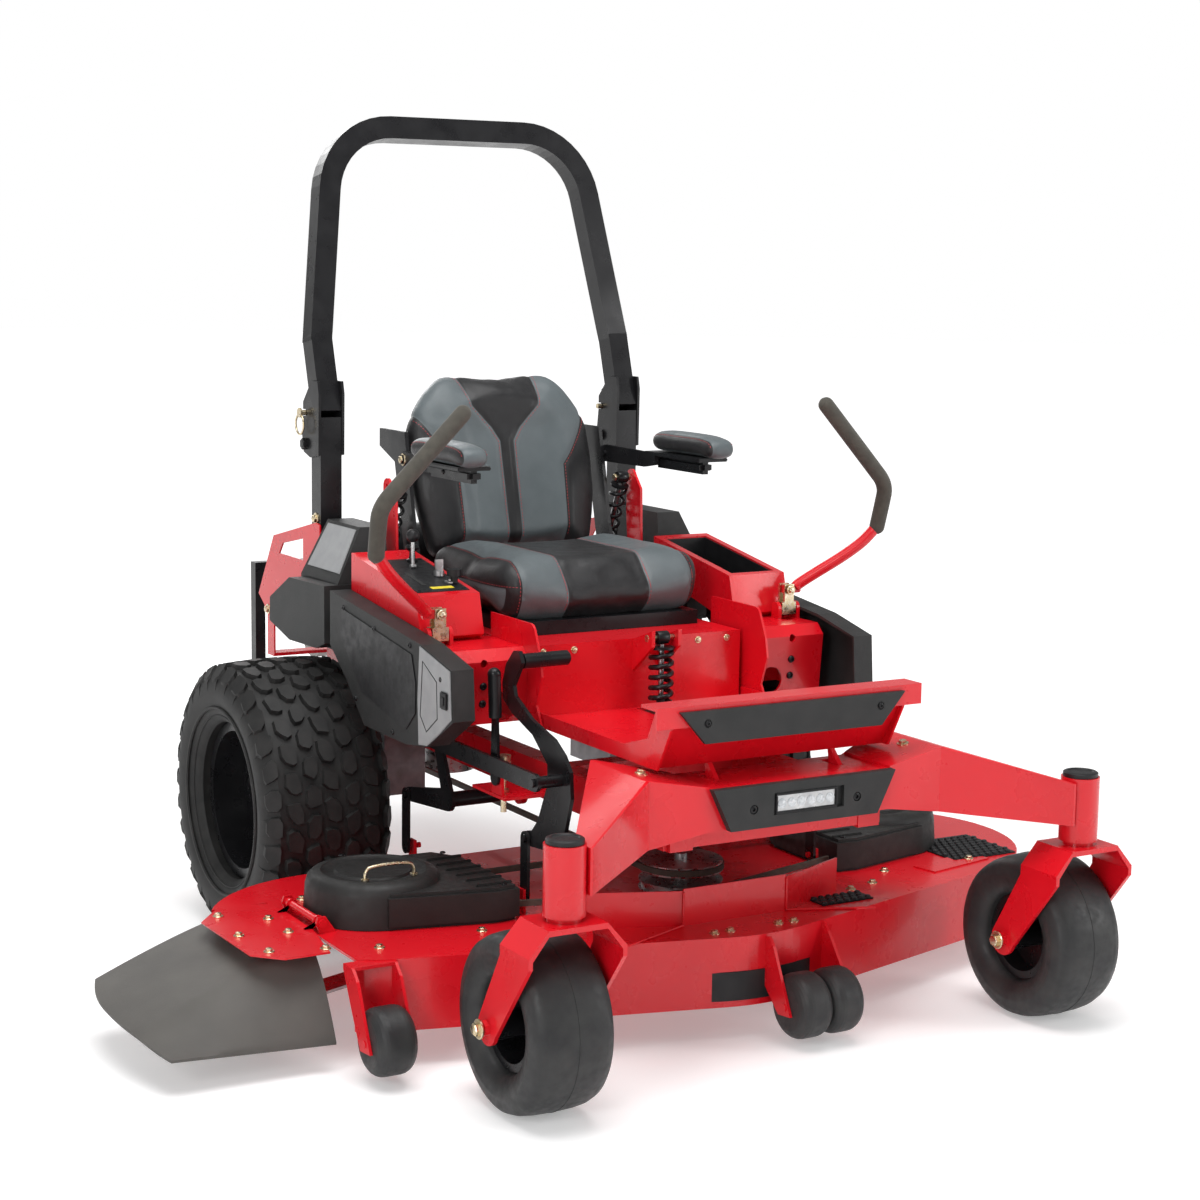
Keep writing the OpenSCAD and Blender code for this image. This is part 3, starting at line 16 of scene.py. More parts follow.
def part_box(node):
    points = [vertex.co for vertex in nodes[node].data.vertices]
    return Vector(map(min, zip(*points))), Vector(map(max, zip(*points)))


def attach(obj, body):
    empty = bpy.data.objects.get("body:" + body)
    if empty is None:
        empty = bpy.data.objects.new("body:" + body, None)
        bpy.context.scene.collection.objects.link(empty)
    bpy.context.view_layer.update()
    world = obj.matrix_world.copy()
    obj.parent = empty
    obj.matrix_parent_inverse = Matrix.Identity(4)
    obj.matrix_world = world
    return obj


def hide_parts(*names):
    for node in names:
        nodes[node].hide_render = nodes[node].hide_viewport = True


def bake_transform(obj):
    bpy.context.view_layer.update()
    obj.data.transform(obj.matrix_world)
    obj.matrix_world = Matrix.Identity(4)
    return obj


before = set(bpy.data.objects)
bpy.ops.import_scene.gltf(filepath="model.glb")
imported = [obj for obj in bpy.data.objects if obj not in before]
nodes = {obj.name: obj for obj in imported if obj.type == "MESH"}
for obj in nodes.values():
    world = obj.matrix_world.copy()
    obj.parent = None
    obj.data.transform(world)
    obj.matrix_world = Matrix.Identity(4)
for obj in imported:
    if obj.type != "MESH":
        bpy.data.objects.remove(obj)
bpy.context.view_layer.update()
random.seed(7)

# %% [markdown]
# Every position is written as the maker measures it: millimetres from the rear axle's middle, x to
# the machine's left, y rearward and z up. The rear tyres' boxes say where that point lies.

# %% Machine coordinates
tyre_right, tyre_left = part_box("rear_tyre_right"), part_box("rear_tyre_left")
MIDDLE = (tyre_right[0][0] + tyre_left[1][0]) / 2
AXLE = (tyre_left[0][1] + tyre_left[1][1]) / 2
MM = 0.001


def at(x, y, z):
    """A point in metres in the frame, from millimetres on the machine."""
    return Vector((MIDDLE + x * MM, AXLE + y * MM, z * MM))


print("axle middle at", round(MIDDLE, 4), round(AXLE, 4))

# %% [markdown]
# The picture is taken from the machine's right front corner, a little above the seat, with a long
# lens. The camera's three axes are worked out from its yaw, pitch and a slight roll.

# %% Camera
yaw, pitch, roll = math.radians(30.25), math.radians(-8.42), math.radians(0.83)
ahead = Vector((math.sin(yaw) * math.cos(pitch), math.cos(yaw) * math.cos(pitch), math.sin(pitch)))
flat_right = Vector((math.cos(yaw), -math.sin(yaw), 0))
flat_up = flat_right.cross(ahead)
cam_right = flat_right * math.cos(roll) + flat_up * math.sin(roll)
cam_up = cam_right.cross(ahead)
cam_data = bpy.data.cameras.new("camera")
cam_data.lens, cam_data.sensor_width = 69.45, 36.0
camera = bpy.data.objects.new("camera", cam_data)
bpy.context.scene.collection.objects.link(camera)
turn = Matrix((cam_right, cam_up, -ahead)).transposed().to_4x4()
camera.matrix_world = Matrix.Translation(at(-2458, -4663, 1489)) @ turn
bpy.context.scene.camera = camera
print("camera at", tuple(round(v, 3) for v in camera.location))

# %% [markdown]
# A material here is a shader plus a few layers. `finish` starts one; `mottle` varies its colour,
# `polish` varies how sharply it shines, and `grain` presses a texture into the surface. Textures use
# object coordinates in metres, so a grain of 1 mm is 1 mm on every piece.

# %% Material helpers
def finish(name, colour, rough=0.5, metal=0.0, coat=0.0, spec=0.5, sheen=0.0):
    m = bpy.data.materials.new(name)
    m.use_nodes = True
    b = m.node_tree.nodes["Principled BSDF"]
    b.inputs["Base Color"].default_value = (*colour, 1)
    b.inputs["Roughness"].default_value = rough
    b.inputs["Metallic"].default_value = metal
    b.inputs["Coat Weight"].default_value = coat
    b.inputs["Coat Roughness"].default_value = 0.06
    b.inputs["Specular IOR Level"].default_value = spec
    b.inputs["Sheen Weight"].default_value = sheen
    return m


def add(m, kind, **values):
    n = m.node_tree.nodes.new(kind)
    for k, v in values.items():
        setattr(n, k, v)
    return n


def link(m, a, b):
    m.node_tree.links.new(a, b)


def spot(m):
    """The place in metres that the textures read."""
    return add(m, "ShaderNodeTexCoord").outputs["Object"]


def noise_at(m, size_mm, detail=3.0, stretch=None):
    n = add(m, "ShaderNodeTexNoise")
    n.inputs["Scale"].default_value = 1000.0 / size_mm
    n.inputs["Detail"].default_value = detail
    if stretch:
        s = add(m, "ShaderNodeMapping")
        s.inputs["Scale"].default_value = stretch
        link(m, spot(m), s.inputs["Vector"])
        link(m, s.outputs[0], n.inputs["Vector"])
    else:
        link(m, spot(m), n.inputs["Vector"])
    return n.outputs["Fac"]


def ramp(m, fac, low, high, a=0.35, b=0.65):
    r = add(m, "ShaderNodeMapRange")
    r.inputs["From Min"].default_value, r.inputs["From Max"].default_value = a, b
    r.inputs["To Min"].default_value, r.inputs["To Max"].default_value = low, high
    link(m, fac, r.inputs["Value"])
    return r.outputs[0]


def blend_colours(m, fac, one, two):
    x = add(m, "ShaderNodeMix", data_type="RGBA")
    link(m, fac, x.inputs["Factor"])
    for socket, c in ((x.inputs[6], one), (x.inputs[7], two)):
        if isinstance(c, tuple):
            socket.default_value = (*c, 1)
        else:
            link(m, c, socket)
    return x.outputs[2]


def mottle(m, other, size_mm=60, a=0.35, b=0.7):
    """Blotches of a second colour over the first."""
    bsdf = m.node_tree.nodes["Principled BSDF"]
    base = tuple(bsdf.inputs["Base Color"].default_value)[:3]
    blotches = ramp(m, noise_at(m, size_mm, 4), 0, 1, a, b)
    link(m, blend_colours(m, blotches, base, other), bsdf.inputs["Base Color"])


def polish(m, low, high, size_mm=30):
    bsdf = m.node_tree.nodes["Principled BSDF"]
    link(m, ramp(m, noise_at(m, size_mm, 5), low, high), bsdf.inputs["Roughness"])


def grain(m, size_mm, depth_mm, kind="noise", stretch=None):
    if kind == "cells":
        v = add(m, "ShaderNodeTexVoronoi", feature="DISTANCE_TO_EDGE")
        v.inputs["Scale"].default_value = 1000.0 / size_mm
        link(m, spot(m), v.inputs["Vector"])
        height = ramp(m, v.outputs["Distance"], 0, 1, 0.0, 0.25)
    else:
        height = noise_at(m, size_mm, 2, stretch)
    b = add(m, "ShaderNodeBump")
    b.inputs["Strength"].default_value = 1.0
    b.inputs["Distance"].default_value = depth_mm * MM
    link(m, height, b.inputs["Height"])
    bsdf = m.node_tree.nodes["Principled BSDF"]
    if bsdf.inputs["Normal"].is_linked:
        link(m, bsdf.inputs["Normal"].links[0].from_socket, b.inputs["Normal"])
    link(m, b.outputs[0], bsdf.inputs["Normal"])


print("material helpers ready")

# %% [markdown]
# The finishes of the machine. Powder coat is glossy with a faint orange peel. Moulded plastic is
# dull and pebbled. Zinc plating on bolts is yellowish and uneven. Tyres and rollers carry dust.

# %% Finishes
red = finish("red_powder_coat", (0.64, 0.005, 0.013), 0.32, coat=0.2, spec=0.4)
mottle(red, (0.58, 0.004, 0.011), 220)
polish(red, 0.26, 0.31, 60)
grain(red, 3.0, 0.008)
black = finish("black_powder_coat", (0.006, 0.006, 0.007), 0.3, coat=0.06, spec=0.25)
mottle(black, (0.011, 0.011, 0.012), 90)
polish(black, 0.25, 0.36, 40)
grain(black, 2.2, 0.012)
charcoal = finish("charcoal_plastic", (0.018, 0.019, 0.019), 0.5, spec=0.28)
mottle(charcoal, (0.026, 0.026, 0.026), 40)
grain(charcoal, 1.1, 0.09, "cells")
dark_plastic = finish("black_moulded_plastic", (0.009, 0.009, 0.01), 0.42, spec=0.28)
mottle(dark_plastic, (0.016, 0.016, 0.017), 50)
polish(dark_plastic, 0.34, 0.5, 18)
grain(dark_plastic, 0.9, 0.04, "cells")
light_grey = finish("light_grey_plastic", (0.24, 0.245, 0.25), 0.45)
mottle(light_grey, (0.28, 0.285, 0.29), 30)
grain(light_grey, 0.9, 0.05, "cells")
tread = finish("tyre_rubber", (0.012, 0.012, 0.012), 0.6, spec=0.3)
mottle(tread, (0.022, 0.0215, 0.021), 35)
grain(tread, 1.6, 0.12)
smooth_rubber = finish("caster_rubber", (0.019, 0.019, 0.02), 0.44, spec=0.35)
mottle(smooth_rubber, (0.03, 0.03, 0.0295), 45)
polish(smooth_rubber, 0.42, 0.6, 15)
grain(smooth_rubber, 1.2, 0.05)
sheet_rubber = finish("chute_rubber", (0.075, 0.07, 0.064), 0.62)
mottle(sheet_rubber, (0.095, 0.089, 0.08), 120)
grain(sheet_rubber, 1.5, 0.12, "cells")
grain(sheet_rubber, 60, 1.2)
foam = finish("grip_foam", (0.058, 0.052, 0.041), 0.85, sheen=0.12)
mottle(foam, (0.042, 0.038, 0.03), 14)
grain(foam, 1.3, 0.18)
belt_rubber = finish("belt_rubber", (0.05, 0.04, 0.032), 0.75)
mottle(belt_rubber, (0.075, 0.058, 0.044), 20)
grain(belt_rubber, 1.0, 0.1)
zinc = finish("yellow_zinc", (0.62, 0.5, 0.28), 0.3, metal=1.0)
mottle(zinc, (0.7, 0.62, 0.5), 6)
polish(zinc, 0.22, 0.42, 8)
grain(zinc, 1.5, 0.02)
steel = finish("bright_steel", (0.5, 0.5, 0.5), 0.32, metal=1.0)
mottle(steel, (0.4, 0.4, 0.41), 25)
polish(steel, 0.22, 0.45, 12)
grain(steel, 1.0, 0.03, stretch=(1, 1, 0.08))
cast = finish("cast_aluminium", (0.3, 0.3, 0.31), 0.5, metal=0.9)
mottle(cast, (0.2, 0.2, 0.205), 30)
grain(cast, 1.4, 0.12)
hot_steel = finish("aluminised_steel", (0.33, 0.32, 0.31), 0.42, metal=0.9)
mottle(hot_steel, (0.24, 0.215, 0.19), 50)
grain(hot_steel, 2.0, 0.06)
cover_plastic = finish("belt_cover_plastic", (0.012, 0.0118, 0.0115), 0.42, spec=0.35)
mottle(cover_plastic, (0.017, 0.0165, 0.016), 60)
polish(cover_plastic, 0.42, 0.6, 20)
grain(cover_plastic, 1.0, 0.07, "cells")
thread = finish("red_thread", (0.42, 0.012, 0.02), 0.7, sheen=0.3)
mottle(thread, (0.3, 0.008, 0.014), 3)
grain(thread, 0.5, 0.1)
lamp_glass = finish("lamp_lens", (0.6, 0.62, 0.64), 0.12, coat=1.0)
mottle(lamp_glass, (0.4, 0.42, 0.44), 6)
grain(lamp_glass, 4.0, 0.25, "cells")
yellow = finish("yellow_mark", (0.75, 0.6, 0.03), 0.45)
mottle(yellow, (0.66, 0.52, 0.03), 10)
print("materials in the file", len(bpy.data.materials))

# %% [markdown]
# Each CAD node keeps its shape and gets the finish of its real surface.

# %% Finish the CAD nodes
node_finish = {
    red: "main_frame carrier_frame rear_plates caster_fork_right caster_fork_left platform_pan "
    "seat_pedestal consoles deck_shell",
    black: "roll_bar_posts roll_bar_hoop engine_guard lift_arm lift_bar rear_crank deck_links "
    "park_brake_lever rear_rim_right rear_rim_left caster_rim_right caster_rim_left seat_base",
    charcoal: "light_bumper kick_panel side_panels fuel_tanks",
    dark_plastic: "air_cleaner fuel_cap pto_knob engine_shroud",
    cast: "engine_block transaxles",
    hot_steel: "muffler",
    steel: "crank_drive spindle_right spindle_centre spindle_left throttle_lever ignition_key",
    zinc: "lock_pin_right lock_pin_left lever_bracket_right lever_bracket_left height_pin",
    smooth_rubber: "roller_right roller_centre",
    belt_rubber: "belt_drive",
}
for stuff, names in node_finish.items():
    for name in names.split():
        mesh = nodes[name].data
        mesh.materials.clear()
        mesh.materials.append(stuff)
print("finished CAD nodes", sum(len(v.split()) for v in node_finish.values()))

# %% [markdown]
# `Shape` gathers boxes, plates, tubes, turned pieces and bolts into one mesh, in millimetres on the
# machine. Each added solid can use its own material index. `done` writes the mesh and lets it ride on
# a body, so it moves with the joint.


def around(n):
    """Angles that divide a full turn into n."""
    return [2 * math.pi * i / n for i in range(n)]


def frame_of(direction):
    """Two directions across a third."""
    d = direction.normalized()
    side = d.cross(Vector((0, 0, 1)) if abs(d.z) < 0.9 else Vector((1, 0, 0))).normalized()
    return side, d.cross(side).normalized()


SAME_POINT = 0.00002  # points closer than this are one


class Shape:
    def __init__(self):
        self.bm = bmesh.new()
        self.index = 0
        self.mats = []

    def use(self, mat):
        if mat not in self.mats:
            self.mats.append(mat)
        self.index = self.mats.index(mat)
        return self

    def faces(self, points, polys, smooth=False):
        """Faces over new points; a face that would repeat another is left out."""
        vs = [self.bm.verts.new(p) for p in points]
        made = []
        for q in polys:
            try:
                f = self.bm.faces.new([vs[i] for i in q])
            except ValueError:
                continue
            f.material_index, f.smooth = self.index, smooth
            made.append(f)
        return vs, made

    def loft(self, rings, closed=False, smooth=True):
        """Skin over rings of points, each ring a loop; the ends are capped unless the skin is closed."""
        n, k = len(rings[0]), len(rings)
        points = [p for r in rings for p in r]
        last = k if closed else k - 1
        polys = [(i * n + j, i * n + (j + 1) % n, (i + 1) % k * n + (j + 1) % n, (i + 1) % k * n + j)
                 for i in range(last) for j in range(n)]
        vs, made = self.faces(points, polys, smooth)
        if not closed:
            for ring in (vs[:n][::-1], vs[-n:]):
                f = self.bm.faces.new(ring)
                f.material_index = self.index
                made.append(f)
        return made

    def bevel(self, edges, width):
        """Round the edges over; the new faces are smooth and take the material in use."""
        out = bmesh.ops.bevel(self.bm, geom=list(edges), offset=width, segments=2, affect="EDGES",
                              clamp_overlap=True)
        for f in out["faces"]:
            f.material_index, f.smooth = self.index, True

    def box(self, lo, hi, bevel=1.5):
        lo, hi = at(*lo), at(*hi)
        c, s = (lo + hi) / 2, hi - lo
        m = Matrix.Translation(c) @ Matrix.Diagonal((*s, 1))
        verts = bmesh.ops.create_cube(self.bm, size=1, matrix=m)["verts"]
        for f in {f for v in verts for f in v.link_faces}:
            f.material_index = self.index
        self.bevel({e for v in verts for e in v.link_edges}, min(bevel, 450 * min(s)) * MM)

    def plate(self, outline, start, stop, axis="z", bevel=1.0):
        """A flat plate: an outline in the plane across axis, from start to stop along it."""
        place = {"x": lambda a, b, t: at(t, a, b), "y": lambda a, b, t: at(a, t, b),
                 "z": lambda a, b, t: at(a, b, t)}
        made = self.loft([[place[axis](a, b, t) for a, b in outline] for t in (start, stop)], smooth=False)
        bmesh.ops.recalc_face_normals(self.bm, faces=made)
        self.bevel({e for f in made[-2:] for e in f.edges}, bevel * MM)

    def turned(self, origin, direction, profile, sides=32, smooth=True):
        """A turned piece: profile pairs of radius and height along direction, in millimetres."""
        o, d = at(*origin), Vector(direction).normalized()
        a, b = frame_of(d)
        rings = [[o + d * h * MM + (a * math.cos(t) + b * math.sin(t)) * r * MM for t in around(sides)]
                 for r, h in profile]
        made = self.loft(rings, smooth=smooth)
        bmesh.ops.recalc_face_normals(self.bm, faces=made)

    def tube(self, path, r, sides=16, closed=False, smooth_path=0, round_ends=False):
        """A bar of round section along points on the machine, in millimetres."""
        pts = [at(*p) for p in path]
        for _ in range(smooth_path):
            cut = [pts[0]]
            for p, q in zip(pts, pts[1:]):
                cut += [p.lerp(q, 0.25), p.lerp(q, 0.75)]
            pts = cut + [pts[-1]]
        radii = [r * MM] * len(pts)
        if round_ends:
            first, last = (pts[0] - pts[1]).normalized(), (pts[-1] - pts[-2]).normalized()
            caps = [(0.35, 0.94), (0.65, 0.76), (0.9, 0.44), (1.0, 0.08)]
            pts = ([pts[0] + first * r * MM * h for h, _ in reversed(caps)] + pts
                   + [pts[-1] + last * r * MM * h for h, _ in caps])
            radii = [r * MM * w for _, w in reversed(caps)] + radii + [r * MM * w for _, w in caps]
        rings, side = [], None
        n = len(pts)
        for i, p in enumerate(pts):
            before = pts[(i - 1) % n if closed else max(i - 1, 0)]
            after = pts[(i + 1) % n if closed else min(i + 1, n - 1)]
            d = (after - before).normalized()
            if side is None:
                side, _ = frame_of(d)
            side = (side - d * side.dot(d)).normalized()
            up = d.cross(side)
            rings.append([p + (side * math.cos(t) + up * math.sin(t)) * radii[i] for t in around(sides)])
        made = self.loft(rings, closed=closed)
        bmesh.ops.recalc_face_normals(self.bm, faces=made)

    def bolt(self, p, direction, r=8.0):
        """Zinc hexagon head on a washer, standing on the point p."""
        keep = self.index
        self.use(zinc)
        self.turned(p, direction, [(r * 1.5, 0), (r * 1.5, r * 0.2), (r * 1.4, r * 0.3)], 20)
        self.turned(p, direction, [(r, r * 0.25), (r, r * 0.85), (r * 0.86, r * 1.0)], 6, smooth=False)
        self.turned(p, direction, [(r * 0.8, r * 0.98), (r * 0.55, r * 1.06), (r * 0.1, r * 1.09)], 12)
        self.index = keep

    def screw(self, p, direction, r=6.0):
        """Low round black head with a dished middle."""
        keep = self.index
        self.use(black)
        self.turned(p, direction, [(r, 0), (r, r * 0.2), (r * 0.8, r * 0.5), (r * 0.45, r * 0.58),
                                   (r * 0.38, r * 0.2), (r * 0.05, r * 0.2)], 18)
        self.index = keep

    def done(self, name, body, replaces=(), angle=38):
        """Writes the mesh as a piece. Edges sharper than angle stay crisp."""
        bmesh.ops.remove_doubles(self.bm, verts=self.bm.verts, dist=SAME_POINT)
        mesh = bpy.data.meshes.new(name)
        self.bm.to_mesh(mesh)
        self.bm.free()
        for m in self.mats:
            mesh.materials.append(m)
        o = bpy.data.objects.new(name, mesh)
        bpy.context.scene.collection.objects.link(o)
        mesh.set_sharp_from_angle(angle=math.radians(angle))
        for poly in mesh.polygons:
            poly.use_smooth = True
        if body:
            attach(o, body)
        if replaces:
            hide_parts(*replaces)
        return o


def ring_points(cx, cy, r, a0, a1, n):
    """Points along an arc from a0 to a1 degrees."""
    turns = [math.radians(a0 + (a1 - a0) * i / n) for i in range(n + 1)]
    return [(cx + r * math.cos(t), cy + r * math.sin(t)) for t in turns]


SIDES = ((-1, "right"), (1, "left"))
print("mesh helpers ready")

# %% [markdown]
# ## Rear tyres
# A drive tyre is a smooth carcass with rubber blocks standing on it. The carcass is turned from its
# section, then staggered blocks are laid round the tread in seven rows, each with its own slightly
# crooked outline and a lower, wider foot. The outer rows run down over the shoulders.

# %% Rear tyres
TYRE_R, TYRE_HALF = 305.0, 145.0
TYRE_STEPS = 96  # facets round every tyre
PITCHES, BLOCK_RISE = 30, 10.3  # blocks round the tread, and how far they stand above the carcass
BLOCK_ROWS = ((-128, 26), (-88, 34), (-46, 34), (-4, 34), (42, 34), (86, 34), (128, 26))  # place, width
BLOCK_OUTLINE = ((-0.5, -0.7), (-0.15, -1.0), (0.3, -0.9), (0.5, -0.4), (0.48, 0.7), (0.12, 1.0),
                 (-0.3, 0.86), (-0.52, 0.3))


def tread_height(x):
    """Radius of the carcass under the blocks, across the tyre."""
    u = min(abs(x) / 140.0, 1.0)
    return 294.5 - 8 * u ** 2 - 34 * max(0.0, u - 0.86) / 0.14 * 0.8


def rear_tyre(side, name):
    cx = side * (abs(tyre_left[1][0] - MIDDLE) / MM - TYRE_HALF)
    s = Shape().use(tread)
    section = [(-116, 172), (-126, 178), (-136, 196), (-143, 222), (-145, 240), (-142, 258), (-133, 276)]
    section += [(x, tread_height(x)) for x in range(-118, 119, 12)]
    section += [(-x, r) for x, r in reversed(section[:7])]
    section += [(100, 176), (-100, 176)]
    rings = [[at(cx + x, r * math.cos(t), TYRE_R + r * math.sin(t)) for x, r in section]
             for t in around(TYRE_STEPS)]
    made = s.loft(rings, closed=True)
    bmesh.ops.recalc_face_normals(s.bm, faces=made)
    # rim guard and a ring on each sidewall
    for sx in (-1, 1):
        for r, w, h in ((205, 4, 142.5), (188, 2.5, 133)):
            s.tube([(cx + sx * (h - 1.5), r * math.cos(t), TYRE_R + r * math.sin(t)) for t in around(72)],
                   w, 6, closed=True)
    rng = random.Random(31 + side)
    for k, (x0, w) in enumerate(BLOCK_ROWS):
        for i in range(PITCHES):
            mid = (i + (0.5 if k % 2 else 0.0)) * 2 * math.pi / PITCHES
            half = 0.82 * math.pi / PITCHES
            jitter = [rng.uniform(-0.16, 0.16) for _ in range(8)]
            lean = 0.3 * (1 if k % 2 else -1)
            foot, top = [], []
            for j, (u, v) in enumerate(BLOCK_OUTLINE):
                xx = x0 + (u + jitter[j] * 0.5) * w
                tt = mid + (v + jitter[-j - 1] + lean * u) * half
                for ring, shrink, rise in ((foot, 1.0, -2.0), (top, 0.88, BLOCK_RISE)):
                    x = x0 + (xx - x0) * shrink
                    t = mid + (tt - mid) * shrink
                    r = min(tread_height(x) + rise, TYRE_R - 0.2)
                    spread = 1.02 if ring is top and abs(x0) > 100 else 1
                    lim = TYRE_HALF - 1.5
                    ring.append(at(cx + max(-lim, min(lim, x * spread)), r * math.cos(t),
                                   TYRE_R + r * math.sin(t)))
            made = s.loft([foot, top], smooth=False)
            bmesh.ops.recalc_face_normals(s.bm, faces=made)
    # shoulder lugs reaching down the sidewall
    for sx in (-1, 1):
        for i in range(PITCHES):
            t0 = (i + 0.25 * (1 + sx)) * 2 * math.pi / PITCHES
            pts = []
            for r, x in ((284, 131), (262, 141.5), (240, 143.5), (226, 141.5)):
                wide = 0.62 - 0.28 * (284 - r) / 58
                for v in (-wide, wide):
                    t = t0 + v * math.pi / PITCHES
                    pts.append(at(cx + sx * (x + 1.4), r * math.cos(t), TYRE_R + r * math.sin(t)))
                    pts.append(at(cx + sx * (x - 4), r * math.cos(t), TYRE_R + r * math.sin(t)))
            rings = [[pts[4 * j], pts[4 * j + 2], pts[4 * j + 3], pts[4 * j + 1]] for j in range(4)]
            made = s.loft(rings, smooth=False)
            bmesh.ops.recalc_face_normals(s.bm, faces=made)
    return s.done("rear_tread_" + name, "wheel_" + name, ["rear_tyre_" + name], angle=30)


for side, name in SIDES:
    t = rear_tyre(side, name)
    print(t.name, len(t.data.polygons), "faces")

# %% [markdown]
# ## Caster tyres
# The front tyres are foam filled and smooth. Each is turned from its section, with a thin mould line
# round the middle, a step where the tread meets the sidewall and two rings on each side.

# %% Caster tyres
def caster_tyre(side, name):
    lo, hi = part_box("caster_tyre_" + name)
    cx, cy = ((lo[0] + hi[0]) / 2 - MIDDLE) / MM, ((lo[1] + hi[1]) / 2 - AXLE) / MM
    r, half = (hi[2] - lo[2]) / 2 / MM, (hi[0] - lo[0]) / 2 / MM
    bead = 0.53 * r
    section = [(-0.72, bead), (-0.86, bead + 6), (-0.95, bead + 22), (-0.985, bead + 32), (-0.985, bead + 35),
               (-1.0, bead + 38), (-0.99, r - 34), (-0.955, r - 20), (-0.90, r - 12), (-0.885, r - 11.4),
               (-0.87, r - 9.4), (-0.7, r - 4.2), (-0.45, r - 1.6), (-0.2, r - 0.9), (-0.016, r - 0.8),
               (-0.012, r), (0.012, r), (0.016, r - 0.8)]
    section += [(-x, q) for x, q in reversed(section[:14])]
    rings = [[at(cx + x * half, cy + q * math.cos(t), r + q * math.sin(t)) for x, q in section]
             for t in around(TYRE_STEPS)]
    s = Shape().use(smooth_rubber)
    made = s.loft(rings, closed=True)
    bmesh.ops.recalc_face_normals(s.bm, faces=made)
    return s.done("front_tyre_" + name, "caster_" + name, ["caster_tyre_" + name], angle=50), (cx, cy, r)


caster_place = {}
for side, name in SIDES:
    o, caster_place[name] = caster_tyre(side, name)
    print(o.name, "wheel centre", [round(v, 1) for v in caster_place[name]])

# %% [markdown]
# ## The seat
# Two foam pads are sewn from black and slate vinyl. Each starts as a rounded block a little smaller
# than the finished pad, is remeshed into even small faces and swollen with cloth pressure. The panels
# come after that: the surface is pulled in along each seam, the vinyl's colour changes at the same
# line, and rows of red stitches are laid on the finished surface.

# %% Vinyl that changes colour at the seams
BLACK_VINYL, SLATE_VINYL = (0.009, 0.009, 0.01), (0.085, 0.102, 0.108)


def curve_of(m, value, low, high, points):
    """A curve drawn through points, read from low to high."""
    r = add(m, "ShaderNodeMapRange")
    r.inputs["From Min"].default_value, r.inputs["From Max"].default_value = low, high
    link(m, value, r.inputs["Value"])
    c = add(m, "ShaderNodeFloatCurve")
    curve = c.mapping.curves[0]
    c.mapping.use_clip = False
    pts = [((z - low) / (high - low), w) for z, w in points]
    curve.points[0].location, curve.points[-1].location = pts[0], pts[-1]
    for p in pts[1:-1]:
        curve.points.new(*p)
    for p in curve.points:
        p.handle_type = "VECTOR"
    c.mapping.update()
    link(m, r.outputs[0], c.inputs["Value"])
    return c.outputs[0]


def math_node(m, op, a, b):
    n = add(m, "ShaderNodeMath", operation=op)
    for socket, v in ((n.inputs[0], a), (n.inputs[1], b)):
        if isinstance(v, (int, float)):
            socket.default_value = v
        else:
            link(m, v, socket)
    return n.outputs[0]


def vinyl(name):
    m = finish(name, BLACK_VINYL, 0.38, coat=0.05, sheen=0.04, spec=0.35)
    polish(m, 0.3, 0.46, 40)
    grain(m, 1.7, 0.13, "cells")
    grain(m, 28, 0.9)
    return m


def colour_panels(m, slate):
    black_soft = blend_colours(m, ramp(m, noise_at(m, 40), 0, 1), BLACK_VINYL, (0.013, 0.013, 0.014))
    slate_soft = blend_colours(m, ramp(m, noise_at(m, 50), 0, 1), SLATE_VINYL, (0.095, 0.113, 0.12))
    bsdf = m.node_tree.nodes["Principled BSDF"]
    link(m, blend_colours(m, slate, black_soft, slate_soft), bsdf.inputs["Base Color"])


def split_place(m):
    s = add(m, "ShaderNodeSeparateXYZ")
    link(m, spot(m), s.inputs[0])
    x = math_node(m, "ABSOLUTE", math_node(m, "SUBTRACT", s.outputs[0], MIDDLE), 0.0)
    return x, s.outputs[1], s.outputs[2]


def metres(z_mm, w_mm):
    return [(z * MM, w * MM) for z, w in zip(z_mm, w_mm)]


# half width of each panel at each height, in millimetres
STRIPE = ((800, 1075, 1105, 1155, 1260), (15, 17, 36, 84, 104))
BOLSTER = ((800, 1020, 1090, 1170, 1260), (128, 134, 186, 236, 300))
LEAN = math.radians(14)  # how far the back leans
CENTRE_PANEL, SIDE_PANEL = 98.0, 206.0  # where the cushion's seams run, off its middle
WELT_Z, WELT_X = 806, 232  # height of the seam round the cushion's side, and where it starts
back_vinyl = vinyl("back_vinyl")
x, y, z = split_place(back_vinyl)
past_stripe = math_node(back_vinyl, "GREATER_THAN", x, curve_of(back_vinyl, z, 0.8, 1.26, metres(*STRIPE)))
inside_bolster = math_node(back_vinyl, "LESS_THAN", x, curve_of(back_vinyl, z, 0.8, 1.26, metres(*BOLSTER)))
lean_off = math_node(back_vinyl, "SUBTRACT", y, math_node(back_vinyl, "MULTIPLY", z, math.tan(LEAN)))
front_side = math_node(back_vinyl, "LESS_THAN", lean_off, AXLE - 24 * MM - 0.852 * math.tan(LEAN))
both_lines = math_node(back_vinyl, "MULTIPLY", past_stripe, inside_bolster)
colour_panels(back_vinyl, math_node(back_vinyl, "MULTIPLY", both_lines, front_side))
cushion_vinyl = vinyl("cushion_vinyl")
x, y, z = split_place(cushion_vinyl)
outer = math_node(cushion_vinyl, "GREATER_THAN", x, CENTRE_PANEL * MM)
inner = math_node(cushion_vinyl, "LESS_THAN", x, SIDE_PANEL * MM)
low_side = math_node(cushion_vinyl, "LESS_THAN", z, WELT_Z * MM)
far_side = math_node(cushion_vinyl, "GREATER_THAN", x, WELT_X * MM)
on_top = math_node(cushion_vinyl, "MULTIPLY", outer, inner)
on_side = math_node(cushion_vinyl, "MULTIPLY", low_side, far_side)
